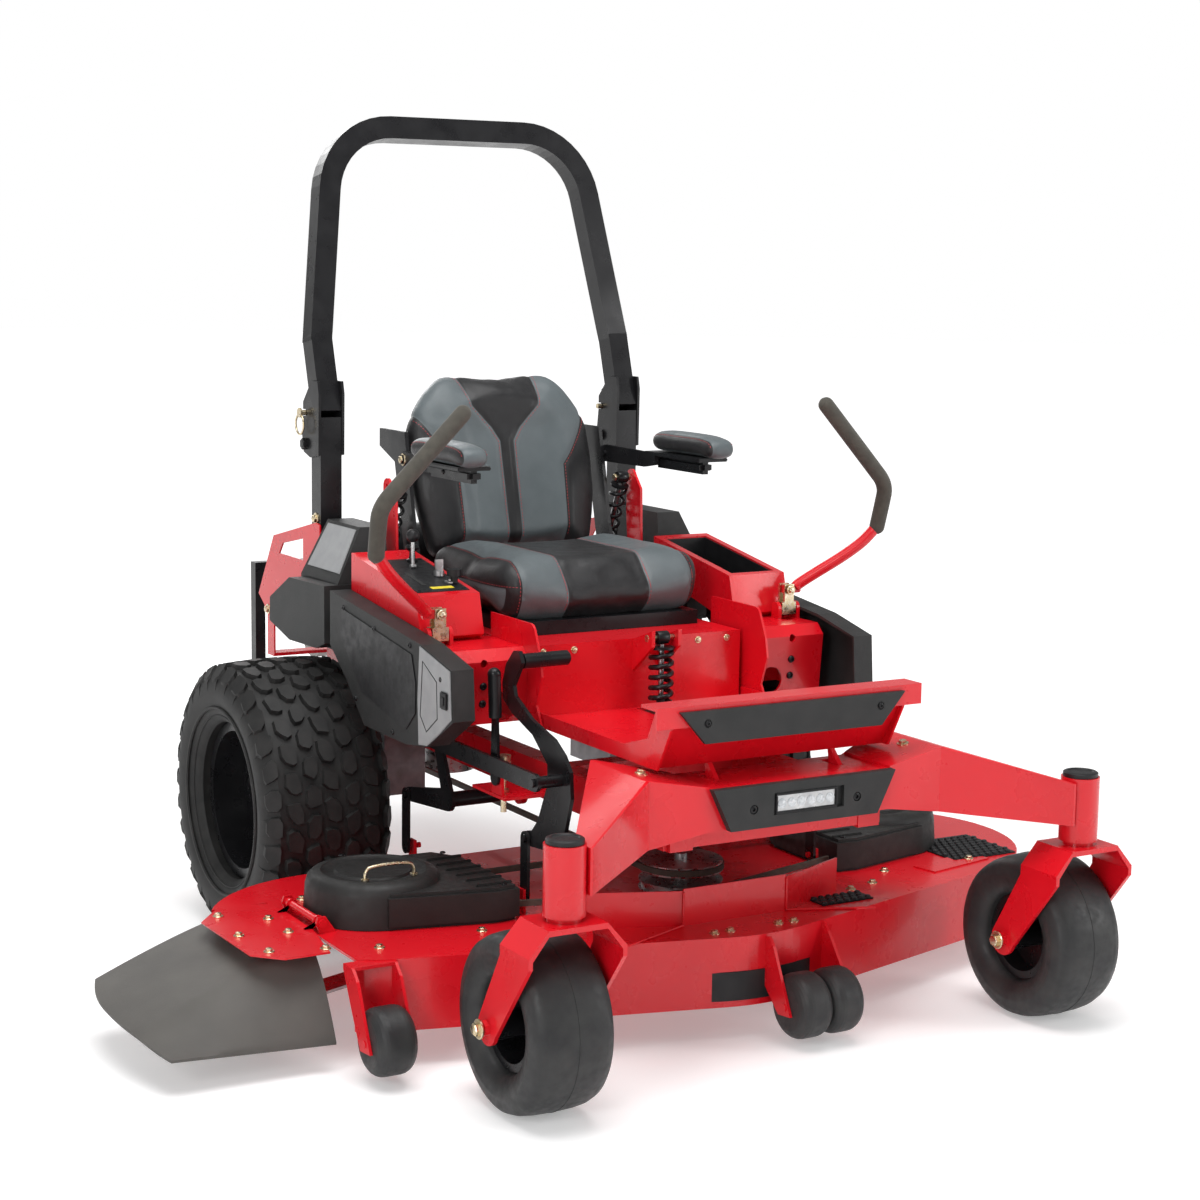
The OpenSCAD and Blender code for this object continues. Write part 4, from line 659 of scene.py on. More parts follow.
colour_panels(cushion_vinyl, math_node(cushion_vinyl, "MAXIMUM", on_top, on_side))
arm_vinyl = vinyl("armrest_vinyl")
x, y, z = split_place(arm_vinyl)
from_x, to_x = math_node(arm_vinyl, "GREATER_THAN", x, 0.276), math_node(arm_vinyl, "LESS_THAN", x, 0.328)
colour_panels(arm_vinyl, math_node(arm_vinyl, "MULTIPLY", from_x, to_x))
print("vinyls ready")

# %% [markdown]
# The swelling is a real cloth simulation. How far a point may move is capped, because pressure alone
# would blow the flat sides out, and the underside stays near the metal it rests on.

# %% Pads
def rounded_block(lo, hi, r, cuts):
    """A box with round edges, from a grid pushed onto the rounded shape."""
    bm = bmesh.new()
    lo, hi = at(*lo), at(*hi)
    bmesh.ops.create_cube(bm, size=2)
    bmesh.ops.subdivide_edges(bm, edges=bm.edges, cuts=cuts, use_grid_fill=True)
    r = r * MM
    for v in bm.verts:
        p = Vector([lo[i] + (hi[i] - lo[i]) * (v.co[i] + 1) / 2 for i in range(3)])
        q = Vector([min(max(p[i], lo[i] + r), hi[i] - r) for i in range(3)])
        d = p - q
        v.co = q + d.normalized() * r if d.length > 1e-7 else p
    return bm


VOXEL, CAP, PRESSURE = 0.006, 0.02, 4.0  # metres, metres and cloth pressure
FRAMES, SMOOTHING = 20, 14


def simulate(o):
    """Swell a pad with cloth pressure, cap the swelling, then smooth the remesh away."""
    before = bpy.context.view_layer.objects.active
    bpy.context.view_layer.objects.active = o
    remesh = o.modifiers.new("even", "REMESH")
    remesh.mode, remesh.voxel_size = "VOXEL", VOXEL
    bpy.ops.object.modifier_apply(modifier=remesh.name)
    rest = [v.co.copy() for v in o.data.vertices]
    cloth = o.modifiers.new("foam", "CLOTH")
    c = cloth.settings
    c.quality, c.mass, c.use_pressure, c.uniform_pressure_force = 6, 0.4, True, PRESSURE
    c.tension_stiffness = c.compression_stiffness = 25
    c.shear_stiffness, c.bending_stiffness = 12, 2.0
    c.effector_weights.gravity = 0
    cloth.point_cache.frame_start, cloth.point_cache.frame_end = 1, FRAMES
    for f in range(1, FRAMES + 1):
        bpy.context.scene.frame_set(f)
    bpy.ops.object.modifier_apply(modifier=cloth.name)
    bpy.context.scene.frame_set(1)
    far = 0.0
    for v, p in zip(o.data.vertices, rest):
        d = v.co - p
        far = max(far, d.length)
        if d.length > CAP:
            v.co = p + d * (CAP / d.length)
    bm = bmesh.new()
    bm.from_mesh(o.data)
    for _ in range(SMOOTHING):
        bmesh.ops.smooth_vert(bm, verts=bm.verts, factor=0.5, use_axis_x=True, use_axis_y=True,
                              use_axis_z=True)
    bm.to_mesh(o.data)
    bm.free()
    bpy.context.view_layer.objects.active = before
    print(o.name, len(o.data.vertices), "points, swelled by up to", round(far / MM, 1), "mm")


def pad(name, bm, mat, body, node):
    """A simulated pad that stands for a CAD node and rides on a body."""
    mesh = bpy.data.meshes.new(name)
    bm.to_mesh(mesh)
    bm.free()
    mesh.materials.append(mat)
    o = bpy.data.objects.new(name, mesh)
    bpy.context.scene.collection.objects.link(o)
    simulate(o)
    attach(o, body)
    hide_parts(node)
    return o


def smooth_step(t):
    """From 0 to 1 with a soft start and end."""
    t = min(max(t, 0.0), 1.0)
    return t * t * (3 - 2 * t)


def subdivide(o):
    for p in o.data.polygons:
        p.use_smooth = True
    sub = o.modifiers.new("fine", "SUBSURF")
    sub.levels = sub.render_levels = 1


# seat cushion: waterfall front, raised side bolsters, a dip to sit in
CUSHION_HALF = 244
bm = rounded_block((-CUSHION_HALF, -508, 742), (CUSHION_HALF, -104, 858), 34, 22)
for v in bm.verts:
    x = (v.co.x - MIDDLE) / MM
    y = (v.co.y - AXLE) / MM
    top = smooth_step((v.co.z / MM - 760) / 60)
    front = smooth_step((-y - 430) / 80)
    dip, bolster = -16 * math.exp(-((x / 150) ** 4)), 4 * smooth_step((abs(x) - 180) / 40)
    v.co.z += top * MM * (dip + bolster - 20 * front)
    v.co.y += MM * (16 * (x / CUSHION_HALF) ** 2 * front + 14 * front * (1 - top))
    v.co.x -= MM * 14 * (x / CUSHION_HALF) * front * abs(x) / CUSHION_HALF
cushion = pad("seat_cushion_pad", bm, cushion_vinyl, "seat", "seat_cushion")
print("cushion", len(cushion.data.vertices))

# seat back: rings up a leaning wedge, dished between its bolsters
BACK_Y, BACK_Z = -88.0, 852.0  # where the back starts
OUTLINE = ((0, 208), (60, 222), (120, 234), (200, 236), (270, 232), (310, 214), (345, 190), (375, 162),
           (396, 138))  # height up the back, half width
FOOT, HEAD, EDGE = -22, 394, 26  # its lowest and highest ring, and how far its ends round over


def outline_at(h):
    """Half width of the back at a height up it."""
    for (a, wa), (b, wb) in zip(OUTLINE, OUTLINE[1:]):
        if h <= b:
            return wa + (wb - wa) * (h - a) / (b - a)
    return OUTLINE[-1][1]


def back_point(x, y, h):
    """A point on the leaning back: across it, through it and up it."""
    return at(x, BACK_Y + y * math.cos(LEAN) + h * math.sin(LEAN),
              BACK_Z - y * math.sin(LEAN) + h * math.cos(LEAN))


s = Shape().use(back_vinyl)
rings = []
for k in range(31):
    h = FOOT + (HEAD - FOOT) * k / 30
    w = outline_at(h)
    squeeze = 1.0
    edge = min(h - FOOT, HEAD - h)
    if edge < EDGE:
        squeeze = 0.45 + 0.55 * math.sqrt(max(0.0, 1 - ((EDGE - edge) / EDGE) ** 2))
    ring = []
    for t in around(64):
        cx, cy = math.cos(t), math.sin(t)
        x = w * math.copysign(abs(cx) ** 0.5, cx)
        front = -1 if cy < 0 else 1
        depth = abs(cy) ** 0.55
        dish = 26 * (1 - smooth_step((abs(x) - 90) / 90)) * (1 - 0.55 * smooth_step((h - 250) / 90))
        thick_front = 52 - dish
        y = 58 + (front * depth * (thick_front if front < 0 else 40)) * squeeze
        ring.append(back_point(x * (0.97 + 0.03 * squeeze), y, h))
    rings.append(ring)
made = s.loft(rings)
bmesh.ops.recalc_face_normals(s.bm, faces=made)
back = pad("seat_back_pad", s.bm, back_vinyl, "seat", "seat_back")
print("back", len(back.data.vertices))

# %% [markdown]
# A sewn seam pulls the foam in. Each point near a seam moves inward along its normal, less the further
# it lies from the seam. Then a ray finds the surface for each stitch: short red threads, a few
# millimetres beside the seam.

# %% Seams and stitches
def width_at(table, z):
    """Half width of a panel at a height."""
    zs, ws = table
    if z <= zs[0]:
        return ws[0]
    for a, b, wa, wb in zip(zs, zs[1:], ws, ws[1:]):
        if z <= b:
            return wa + (wb - wa) * (z - a) / (b - a)
    return ws[-1]


def pull_in(o, distance, depth=2.6, width=5.0):
    """Pulls the surface in near a seam. distance(point in machine mm) gives how far off the seam it is."""
    bm = bmesh.new()
    bm.from_mesh(o.data)
    bm.normal_update()
    for v in bm.verts:
        p = ((v.co.x - MIDDLE) / MM, (v.co.y - AXLE) / MM, v.co.z / MM)
        d = min(distance(p, v.normal))
        v.co -= v.normal * depth * MM * math.exp(-((d / width) ** 2))
    bm.to_mesh(o.data)
    bm.free()


FAR = 99  # a seam that isn't on this side of the pad


def cushion_seams(p, n):
    x, _, z = p
    top = 0 if n.z > -0.3 else FAR
    side = abs(z - WELT_Z) if abs(x) > WELT_X else FAR
    return abs(abs(x) - CENTRE_PANEL) + top, abs(abs(x) - SIDE_PANEL) + top, side


def back_seams(p, n):
    x, _, z = p
    slope = 0.75  # the seams run aslant, so the level distance is more than the true one
    return abs(abs(x) - width_at(STRIPE, z)) * slope, abs(abs(x) - width_at(BOLSTER, z)) * slope


pull_in(cushion, cushion_seams)
pull_in(back, back_seams)
for o in (cushion, back):
    subdivide(o)


def stitch_line(s, tree, starts, toward, length=4.6, gap=2.6, radius=0.62):
    """Stitches along a list of points, each dropped onto the surface along toward."""
    hits = []
    for p in starts:
        hit, normal, _, _ = tree.ray_cast(p, toward)
        if hit:
            hits.append((hit, normal))
    run, count = 0.0, 0
    for (a, na), (b, _) in zip(hits, hits[1:]):
        step = (b - a).length / MM
        if step > 25:  # a jump from one part of the pad to another
            continue
        run += step
        if run >= length + gap:
            run = 0.0
            d = (b - a).normalized()
            c = a + na * 0.25 * MM
            across = d.cross(na).normalized()
            rings = []
            for f, w in ((-0.5, 0.35), (-0.36, 1.0), (0.36, 1.0), (0.5, 0.35)):
                q = c + d * length * f * MM
                rings.append([q + (across * math.cos(t) + na * math.sin(t)) * radius * w * MM
                              for t in (math.pi * j / 3 for j in range(6))])
            s.loft(rings)
            count += 1
    return count


def seam_threads(name, o, lines, body):
    s, tree = Shape().use(thread), BVHTree.FromObject(o, bpy.context.evaluated_depsgraph_get())
    total = sum(stitch_line(s, tree, starts, toward) for starts, toward in lines)
    s.done(name, body)
    print(name, total, "stitches")


lines = []
BESIDE = 4  # the stitches run this far beside the seam
into_back = Vector((0, math.cos(LEAN), -math.sin(LEAN)))
up_back = Vector((0, math.sin(LEAN), math.cos(LEAN)))
for sign in (-1, 1):
    for table, top_z in ((STRIPE, 1240), (BOLSTER, 1165)):
        lines.append(([back_point(0, -90, 0) + Vector((sign * (width_at(table, z) + BESIDE) * MM, 0, 0))
                       + up_back * (z - BACK_Z) / math.cos(LEAN) * MM
                       for z in range(862, top_z)], into_back))
seam_threads("seat_back_stitches", back, lines, "seat")
lines = []
for sign in (-1, 1):
    for x in (CENTRE_PANEL + BESIDE, SIDE_PANEL + BESIDE):
        lines.append(([at(sign * x, -y, 1000) for y in range(110, 512)], Vector((0, 0, -1))))
        lines.append(([at(sign * x, -640, z) for z in range(842, 752, -1)], Vector((0, 1, 0))))
    lines.append(([at(sign * 400, -y, WELT_Z + BESIDE) for y in range(130, 480)], Vector((-sign, 0, 0))))
seam_threads("cushion_stitches", cushion, lines, "seat")

# %% [markdown]
# ## Armrests
# A steel arm carries a padded rest. The arm pivots on the seat's side frame, so the pad, the arm and the
# stitches all ride on the armrest's own body.

# %% Armrests
seat_side = (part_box("armrest_left")[0][0] - MIDDLE) / MM
PIVOT = (-28, 1040)  # y and z of the arm's pin
for side, name in SIDES:
    s = Shape().use(black)
    outline = ring_points(*PIVOT, 20, -90, 70, 10) + [(-60, 1059), (-250, 1056), (-250, 1030), (-200, 1022)]
    a, b = sorted((side * (seat_side + 0.1), side * (seat_side + 10.5)))
    s.plate(outline, a, b, "x", 1.5)
    lo_x, hi_x = sorted((side * (seat_side + 0.2), side * 330))
    s.box((lo_x, -430, 1050), (hi_x, -200, 1058.5), 2)
    lo_x, hi_x = sorted((side * 268, side * 300))
    s.box((lo_x, -420, 1022), (hi_x, -215, 1052), 9)
    s.bolt((side * (seat_side + 10.5), *PIVOT), (side, 0, 0), 9)
    s.screw((side * 300, -300, 1038), (side, 0, 0), 5)
    s.done("armrest_arm_" + name, "armrest_" + name)
    lo_x, hi_x = sorted((side * 266, side * 338))
    bm = rounded_block((lo_x, -460, 1061), (hi_x, -196, 1106), 20, 14)
    for v in bm.verts:
        y = (v.co.y - AXLE) / MM
        v.co.z -= MM * (7 * smooth_step((-y - 390) / 75) + 3 * smooth_step((y + 250) / 60))
    o = pad("armrest_pad_" + name, bm, arm_vinyl, "armrest_" + name, "armrest_" + name)
    subdivide(o)
    lines = [([at(side * x, -y, 1200) for y in range(196, 462)], Vector((0, 0, -1))) for x in (273, 331)]
    seam_threads("armrest_stitches_" + name, o, lines, "armrest_" + name)

# %% [markdown]
# ## Drive levers
# Each lever is a red bent tube with a flattened foot, and a foam grip slid over its upper half. The grip
# is a thicker tube with round ends, on the same line.

# %% Drive levers
LEVER_R, GRIP_R = 12.3, 16.8
for side, name in SIDES:
    foot, low = (side * 448, -530, 779), (side * 458, -533, 789)
    elbow, grip_start = (side * 560, -600, 868), (side * 600, -617, 915)
    bend, tip = (side * 603, -641, 1009), (side * 431, -650, 1186)
    s = Shape().use(red)
    a, b = sorted((side * 415, side * 460))
    s.box((a, -536, 767), (b, -524, 785), 2)
    s.tube([foot, low, elbow, grip_start, (side * 601, -620, 930)], LEVER_R, 20, smooth_path=3)
    s.bolt((side * 424, -548, 776), (0, -1, 0), 7)
    s.use(zinc).turned((side * 424, -546, 776), (0, 1, 0), [(4.8, 0), (4.8, 32)], 16)
    s.turned((side * 424, -516, 776), (0, 1, 0), [(8, 0), (8, 5), (6, 7)], 6, smooth=False)
    s.done("lever_tube_" + name, "lever_" + name, ["lever_" + name])
    g = Shape().use(foam)
    g.tube([grip_start, (side * 602, -629, 962), bend, (side * 560, -644, 1053), tip], GRIP_R, 24,
           smooth_path=3, round_ends=True)
    g.done("lever_grip_" + name, "lever_" + name)
print("levers done")

# %% [markdown]
# ## Springs and dampers
# The platform floats on a coil spring in front and one each side of the seat. A spring is a tube swept
# along a helix, between two collars on a slim damper.

# %% Springs and dampers
def spring(low, high, r, turns, pin_half):
    """Damper rod, coil, collars and eyes between two pins, low and high."""
    a, b = Vector(at(*low)), Vector(at(*high))
    axis = (b - a).normalized()
    side_dir = Vector((1, 0, 0))
    other = axis.cross(side_dir).normalized()
    span = (b - a).length / MM
    s = Shape().use(black)

    def point(h, rr, t):
        return a + axis * h * MM + (side_dir * math.cos(t) + other * math.sin(t)) * rr * MM

    def ring(h, rr):
        return [point(h, rr, t) for t in around(24)]

    s.use(charcoal)
    s.loft([ring(h, q) for h, q in ((12, 6), (14, 9), (span * 0.45, 9), (span * 0.45 + 2, 7))])
    s.use(steel)
    s.loft([ring(h, 6) for h in (span * 0.45, span - 14)])
    s.use(black)
    for h0, h1 in ((18, 24), (span - 24, span - 18)):
        s.loft([ring(h, q) for h, q in ((h0, r - 4), (h0 + 0.8, r), (h1 - 0.8, r), (h1, r - 4))])
    steps, wire = turns * 28, r * 0.2
    start, stop = 24 + wire, span - 24 - wire
    rings = []
    for i in range(steps + 1):
        f = i / steps
        t = 2 * math.pi * turns * f
        centre = point(start + (stop - start) * f, r - wire, t)
        out = side_dir * math.cos(t) + other * math.sin(t)
        rings.append([centre + (out * math.cos(u) + axis * math.sin(u)) * wire * MM for u in around(10)])
    s.loft(rings)
    end = 2 * pin_half
    eye = [(8.2, -13), (13, -13), (13.6, -12), (13.6, 12), (13, 13), (8.2, 13)]
    pin = [(0, -4), (8, -4), (8.6, -3), (8.6, 0), (5.5, 0), (5.5, end), (8.6, end), (8.6, end + 3),
           (8, end + 4), (0, end + 4)]
    for c in (low, high):
        s.use(black).turned(c, (1, 0, 0), eye, 24)
        s.use(zinc).turned((c[0] - pin_half, c[1], c[2]), (1, 0, 0), pin, 6, smooth=False)
    return s


s = spring((25, -660, 487), (25, -660, 716), 27, 8, 33)
front_spring = s.done("front_spring", None, ["shocks"])
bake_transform(front_spring)
for side, name in SIDES:
    s = spring((side * 284, 76, 660), (side * 284, -52, 985), 21, 10, 17)
    o = s.done("rear_spring_" + name, None)
    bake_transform(o)
print("front spring", len(front_spring.data.polygons), "faces")

# %% [markdown]
# ## Discharge chute
# A steel plate hinged on the deck carries a thick black rubber flap that hangs out to the side and
# curls down at its front end. The flap is one sheet given thickness, drawn from a formula.

# %% Discharge chute
s = Shape().use(red)
plate = [(-770.5, -564), (-776, -500), (-876, -478), (-942, -560), (-938, -800), (-890, -852), (-800, -852),
         (-770.5, -700)]
s.plate(plate, 211.2, 214.8, "z", 0.8)
for y0, y1 in ((-700, -694), (-570, -564)):
    s.plate(ring_points(-758, 228, 11.4, -60, 220, 10) + [(-772, 213), (-786, 213)], y0, y1, "y", 0.6)
s.use(zinc)
for x, y in ((-800, -830), (-820, -700), (-820, -600), (-900, -540), (-912, -680), (-900, -800)):
    s.bolt((x, y, 214.8), (0, 0, 1), 7)
hinge_pin = [(0, 0), (8, 0), (8, 5), (5, 5), (5, 150), (8, 150), (8, 156), (0, 156)]
s.turned((-758, -710, 228), (0, 1, 0), hinge_pin, 12)
s.done("chute_hinge", "chute")


def flap_point(u, v, lift):
    """A point on the flap: u from the hinge outwards, v from its rear end to its front, lift above it."""
    reach = 354 - 90 * max(0, v - 1 / 3) ** 2 - 250 * max(0, 1 / 3 - v) ** 2
    x = -806 - u * reach
    y = -482 - 410 * v - 20 * u * (1 - v) * v - 14 * u * (1 - v) + 8 * u * v
    slope = 204.7 - (99 + 34 * v) * u ** 1.35
    curl = max(0, (v - 0.7) / 0.3) ** 1.6
    return at(x, y, slope + (50 + 14 * u - slope) * curl + lift)


s = Shape().use(sheet_rubber)
NU, NV, THICK = 30, 44, 5.6
rows = {}
for lift in (0.0, THICK):
    for i in range(NU + 1):
        for j in range(NV + 1):
            rows[i, j, lift] = s.bm.verts.new(flap_point(i / NU, j / NV, lift))


def quad(*keys):
    f = s.bm.faces.new([rows[k] for k in keys])
    f.material_index, f.smooth = s.index, True


for i in range(NU):
    for j in range(NV):
        quad((i, j, THICK), (i + 1, j, THICK), (i + 1, j + 1, THICK), (i, j + 1, THICK))
        quad((i, j, 0.0), (i, j + 1, 0.0), (i + 1, j + 1, 0.0), (i + 1, j, 0.0))
for i in range(NU):
    quad((i, 0, 0.0), (i + 1, 0, 0.0), (i + 1, 0, THICK), (i, 0, THICK))
    quad((i, NV, 0.0), (i, NV, THICK), (i + 1, NV, THICK), (i + 1, NV, 0.0))
for j in range(NV):
    quad((0, j, 0.0), (0, j, THICK), (0, j + 1, THICK), (0, j + 1, 0.0))
    quad((NU, j, 0.0), (NU, j + 1, 0.0), (NU, j + 1, THICK), (NU, j, THICK))
bmesh.ops.recalc_face_normals(s.bm, faces=s.bm.faces)
s.done("chute_flap", "chute", ["chute"], angle=50)
print("flap reaches", round(flap_point(1, 0.33, 0)[0], 3))

# %% [markdown]
# ## Belt covers
# Moulded black covers keep feet and grass off the outer pulleys. Each is a round pot with a wing that
# narrows inwards, rounded over all its top edges, with a shallow dome, ribs and a zinc grab handle.

# %% Belt covers
COVER_X, COVER_Y, COVER_R = 609.5, -625, 138
COVER_LOW, COVER_TOP, WING_TOP, HANDLE_Y = 208.3, 296.3, 278.3, -700
for side, name in SIDES:
    s = Shape().use(cover_plastic)
    wing = [(-640, -484), (-420, -496), (-380, -560), (-380, -806), (-430, -812), (-640, -764)]
    s.plate([(-side * x, y) for x, y in wing], COVER_LOW, WING_TOP, "z", 7)
    rim = ((1, 0), (0, 1), (4, 62), (8, 76), (16, 84), (26, 87.4), (34, 87.8), (38, 84.5), (60, 83.5),
           (64, 87.6))
    pot = [(COVER_R - inset, h) for inset, h in rim]
    s.turned((side * COVER_X, COVER_Y, COVER_LOW), (0, 0, 1), [(0, 0)] + pot + [(30, 88), (0, 88)], 72)
    for i in range(6):
        y = -560 - 44 * i
        lo_x, hi_x = sorted((side * 384, side * 462))
        s.box((lo_x, y - 4, WING_TOP - 2), (hi_x, y + 4, WING_TOP + 4), 2)
    s.use(zinc)
    for x, y in ((406, -520), (406, -790), (620, -495)):
        s.screw((side * x, y, WING_TOP - 0.2 if x < 500 else COVER_TOP - 4), (0, 0, 1), 6)
    x0, x1, z0 = COVER_X - 52, COVER_X + 52, COVER_TOP
    handle = ((x0, -6), (x0, 16), (x0 + 12, 26), (x1 - 12, 26), (x1, 16), (x1, -6))
    s.tube([(side * x, HANDLE_Y, z0 + h) for x, h in handle], 3.4, 12, smooth_path=2)
    for x in (x0, x1):
        s.turned((side * x, HANDLE_Y, z0 - 1), (0, 0, 1), [(0, 0), (8, 0), (8, 3), (4, 4), (0, 4)], 16)
    s.done("belt_cover_" + name, "deck", ["belt_covers"] if side < 0 else ())
print("belt covers done")

# %% [markdown]
# ## Trim and hardware
# Small pieces have to sit on the metal, wherever it is. `touch` sends a ray at a CAD node and gives the
# point it meets and the way that face looks, so a bolt is never left hanging or sunk.

# %% Finding a surface
trees = {}


def touch(node, origin, direction):
    """Where a ray meets a node, in machine millimetres, and the way the surface looks there."""
    if node not in trees:
        mesh = nodes[node].data
        trees[node] = BVHTree.FromPolygons([v.co for v in mesh.vertices],
                                           [tuple(p.vertices) for p in mesh.polygons])
    hit, normal, _, _ = trees[node].ray_cast(at(*origin), Vector(direction).normalized())
    if hit is None:
        return None, None
    if normal.dot(Vector(direction)) > 0:
        normal = -normal
    return ((hit.x - MIDDLE) / MM, (hit.y - AXLE) / MM, hit.z / MM), normal


def slab(s, points, thick, bevel=0.8):
    """A flat plate on four or more corners in space; it grows along the way the corners turn."""
    pts = [at(*p) for p in points]
    normal = (pts[1] - pts[0]).cross(pts[2] - pts[0]).normalized()
    made = s.loft([pts, [p + normal * thick * MM for p in pts]], smooth=False)
    bmesh.ops.recalc_face_normals(s.bm, faces=made)
    s.bevel(made[-1].edges, bevel * MM)


print("ray helpers ready")

# %% [markdown]
# Bolts are listed once, with the node they go into and the side they come from. The list is sorted by
# body, because everything on one body can be one piece.

# %% Bolts and screws
LEFT, BACK, FRONT, DOWN, UP = (1, 0, 0), (0, 1, 0), (0, -1, 0), (0, 0, -1), (0, 0, 1)
FACING = -0.8  # a bolt is left out where the surface doesn't look this squarely at its ray
bolts = []
for side, name in SIDES:
    inward, outward = (-side, 0, 0), (side, 0, 0)
    for y, z in ((-236, 752), (-390, 730), (-560, 722), (-700, 676), (-300, 570), (-480, 532)):
        bolts.append(("platform", "side_panels", (side * 700, y, z), inward, 6, "screw"))
    for z in (640, 604, 690):
        bolts.append(("platform", "consoles", (side * 372, -760, z), BACK, 8, "screw"))
    for x, z in ((150, 694), (222, 694)):
        bolts.append(("platform", "seat_pedestal", (side * x, -900, z), BACK, 5, "bolt"))
    bolts.append(("platform", "kick_panel", (side * 196, -1300, 650), BACK, 6, "screw"))
    bolts.append(("chassis", "light_bumper", (side * 117, -1400, 489), BACK, 9, "screw"))
    for y, z in ((118, 560), (118, 640), (118, 900)):
        bolts.append(("chassis", "roll_bar_posts", (side * 700, y, z), inward, 9, "bolt"))
    for y in (-1120, -1000, -880):
        bolts.append(("chassis", "carrier_frame", (side * 300, y, 900), DOWN, 8, "bolt"))
    for y, z in ((380, 660), (430, 560), (560, 600)):
        bolts.append(("chassis", "rear_plates", (side * 700, y, z), inward, 8, "bolt"))
    for y in (-1180, -1080):
        bolts.append(("platform", "platform_pan", (side * 230, y, 900), DOWN, 7, "screw"))
    for direction, start in ((inward, side * 900), (outward, side * 300)):
        bolts.append(("fork_" + name, "caster_fork_" + name, (start, -1229, 163), direction, 12, "bolt"))
    for x, y in ((500, -420), (700, -480), (480, -840), (700, -850), (330, -925), (400, -905)):
        bolts.append(("deck", "deck_shell", (side * x, y, 400), DOWN, 7, "bolt"))
    for x in (56, 92):
        bolts.append(("deck", "deck_shell", (side * x, -1060, 400), DOWN, 7, "bolt"))
hardware, missed = {}, 0
for body, node, origin, direction, r, kind in bolts:
    p, normal = touch(node, origin, direction)
    if p is None or normal.dot(Vector(direction)) > FACING:
        missed += 1
        continue
    if body not in hardware:
        hardware[body] = Shape().use(zinc)
    s = hardware[body]
    (s.bolt if kind == "bolt" else s.screw)(p, normal, r)
for body, s in hardware.items():
    s.done("hardware_" + body, body)
print("bolts", len(bolts) - missed, "left out", missed)

# %% [markdown]
# ## Lamp and front trim
# The bumper's lamp is a bright plate with six round lenses in a raised black frame. The caster tubes
# end in pressed black caps, turned like bottle tops.

# %% Lamp and caster caps
s = Shape().use(dark_plastic)
face, _ = touch("light_bumper", (0, -1400, 494), BACK)
lamp_y = face[1] if face else -1222.3
for z0, z1 in ((475.0, 479.5), (510.0, 514.5)):
    s.box((-70, lamp_y - 5, z0), (70, lamp_y + 0.5, z1), 1.2)
for x0, x1 in ((-70, -65.5), (65.5, 70)):
    s.box((x0, lamp_y - 5, 479.5), (x1, lamp_y + 0.5, 510), 1.2)
s.use(steel)
s.box((-65.3, lamp_y - 1.2, 479.7), (65.3, lamp_y + 0.5, 509.8), 0.4)
s.use(lamp_glass)
for i in range(6):
    x = -54 + 21.6 * i
    lens = [(9.4, 0), (9.4, 1.0), (8.2, 1.2), (7.8, 0.6), (5.6, 0.9), (3.4, 2.0), (0.4, 2.5)]
    s.turned((x, lamp_y - 1.0, 494.5), FRONT, lens, 20)
s.done("front_lamp", "chassis")
s = Shape().use(dark_plastic)
STEM_X, STEM_Y = 575, -1328  # the caster tubes
for side, name in SIDES:
    top, _ = touch("carrier_frame", (side * (STEM_X + 30), STEM_Y, 900), DOWN)
    stem_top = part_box("caster_fork_" + name)[1][2] / MM
    low = top[2] if top else stem_top
    high = max(stem_top - low, 0) + 0.8
    cap = [(31, 0), (34, 0.6), (34, high + 2), (31, high + 4), (26, high + 4.4), (24, high + 2.4),
           (8, high + 2), (0.5, high + 2)]
    s.turned((side * STEM_X, STEM_Y, low), UP, cap, 36)
s.done("caster_tube_caps", "chassis")
print("lamp at", round(lamp_y, 1))

# %% [markdown]
# ## Side panels and tank trim
# The moulded side panels have a raised field, a light grey nose with a black latch, and the tanks carry
# grey inserts on their humps.

# %% Side panels and tank trim
PANEL = 500.0  # the panels' outer faces
NOSE = [(-606, 728), (-741, 698), (-748, 604), (-690, 563), (-642, 534), (-603, 529), (-598, 620)]
FIELD = [(-230, 752), (-222, 690), (-330, 588), (-545, 548), (-588, 588), (-590, 650), (-570, 706)]
RECESS = [(-622, 700), (-612, 590), (-640, 562), (-688, 596), (-684, 668)]
HUMP_LOW, HUMP_HIGH = (464.5, 786), (404.5, 905)  # x and z of the tank hump's slope
for side, name in SIDES:
    s = Shape().use(light_grey)
    a, b = sorted((side * PANEL, side * (PANEL + 2.2)))
    s.plate(NOSE, a, b, "x", 1.4)
    s.use(dark_plastic)
    s.plate(FIELD, a, b, "x", 1.6)
    s.tube([(side * (PANEL + 1.8), y, z) for y, z in RECESS], 1.5, 8, closed=True)
    lo, hi = sorted((side * (PANEL + 1), side * (PANEL + 7)))
    s.box((lo, -735, 620), (hi, -705, 655), 3)
    lo, hi = sorted((side * (PANEL + 5), side * (PANEL + 9)))
    s.box((lo, -727, 628), (hi, -713, 647), 2)
    s.done("side_panel_trim_" + name, "platform")
    t = Shape().use(light_grey)
    corners = []
    for z, y in ((806, 56), (806, -116), (898, -100), (898, 48)):
        x = HUMP_LOW[0] + (HUMP_HIGH[0] - HUMP_LOW[0]) * (z - HUMP_LOW[1]) / (HUMP_HIGH[1] - HUMP_LOW[1])
        hit, _ = touch("fuel_tanks", (side * 700, y, z), (-side, 0, 0))
        corners.append((hit[0] if hit else side * x, y, z))
    slab(t, corners if side < 0 else corners[::-1], 2.0)
    t.done("tank_insert_" + name, "chassis")
print("side trim done")

# %% [markdown]
# ## Consoles
# The right console has a black control plate for the throttle, choke and blade switch. The left one has
# a storage bin with a loose black liner.

# %% Control plate and bin liner
def console_top(y):
    """Height of the console's sloping top."""
    return 858 + (y + 165) * 52 / 317


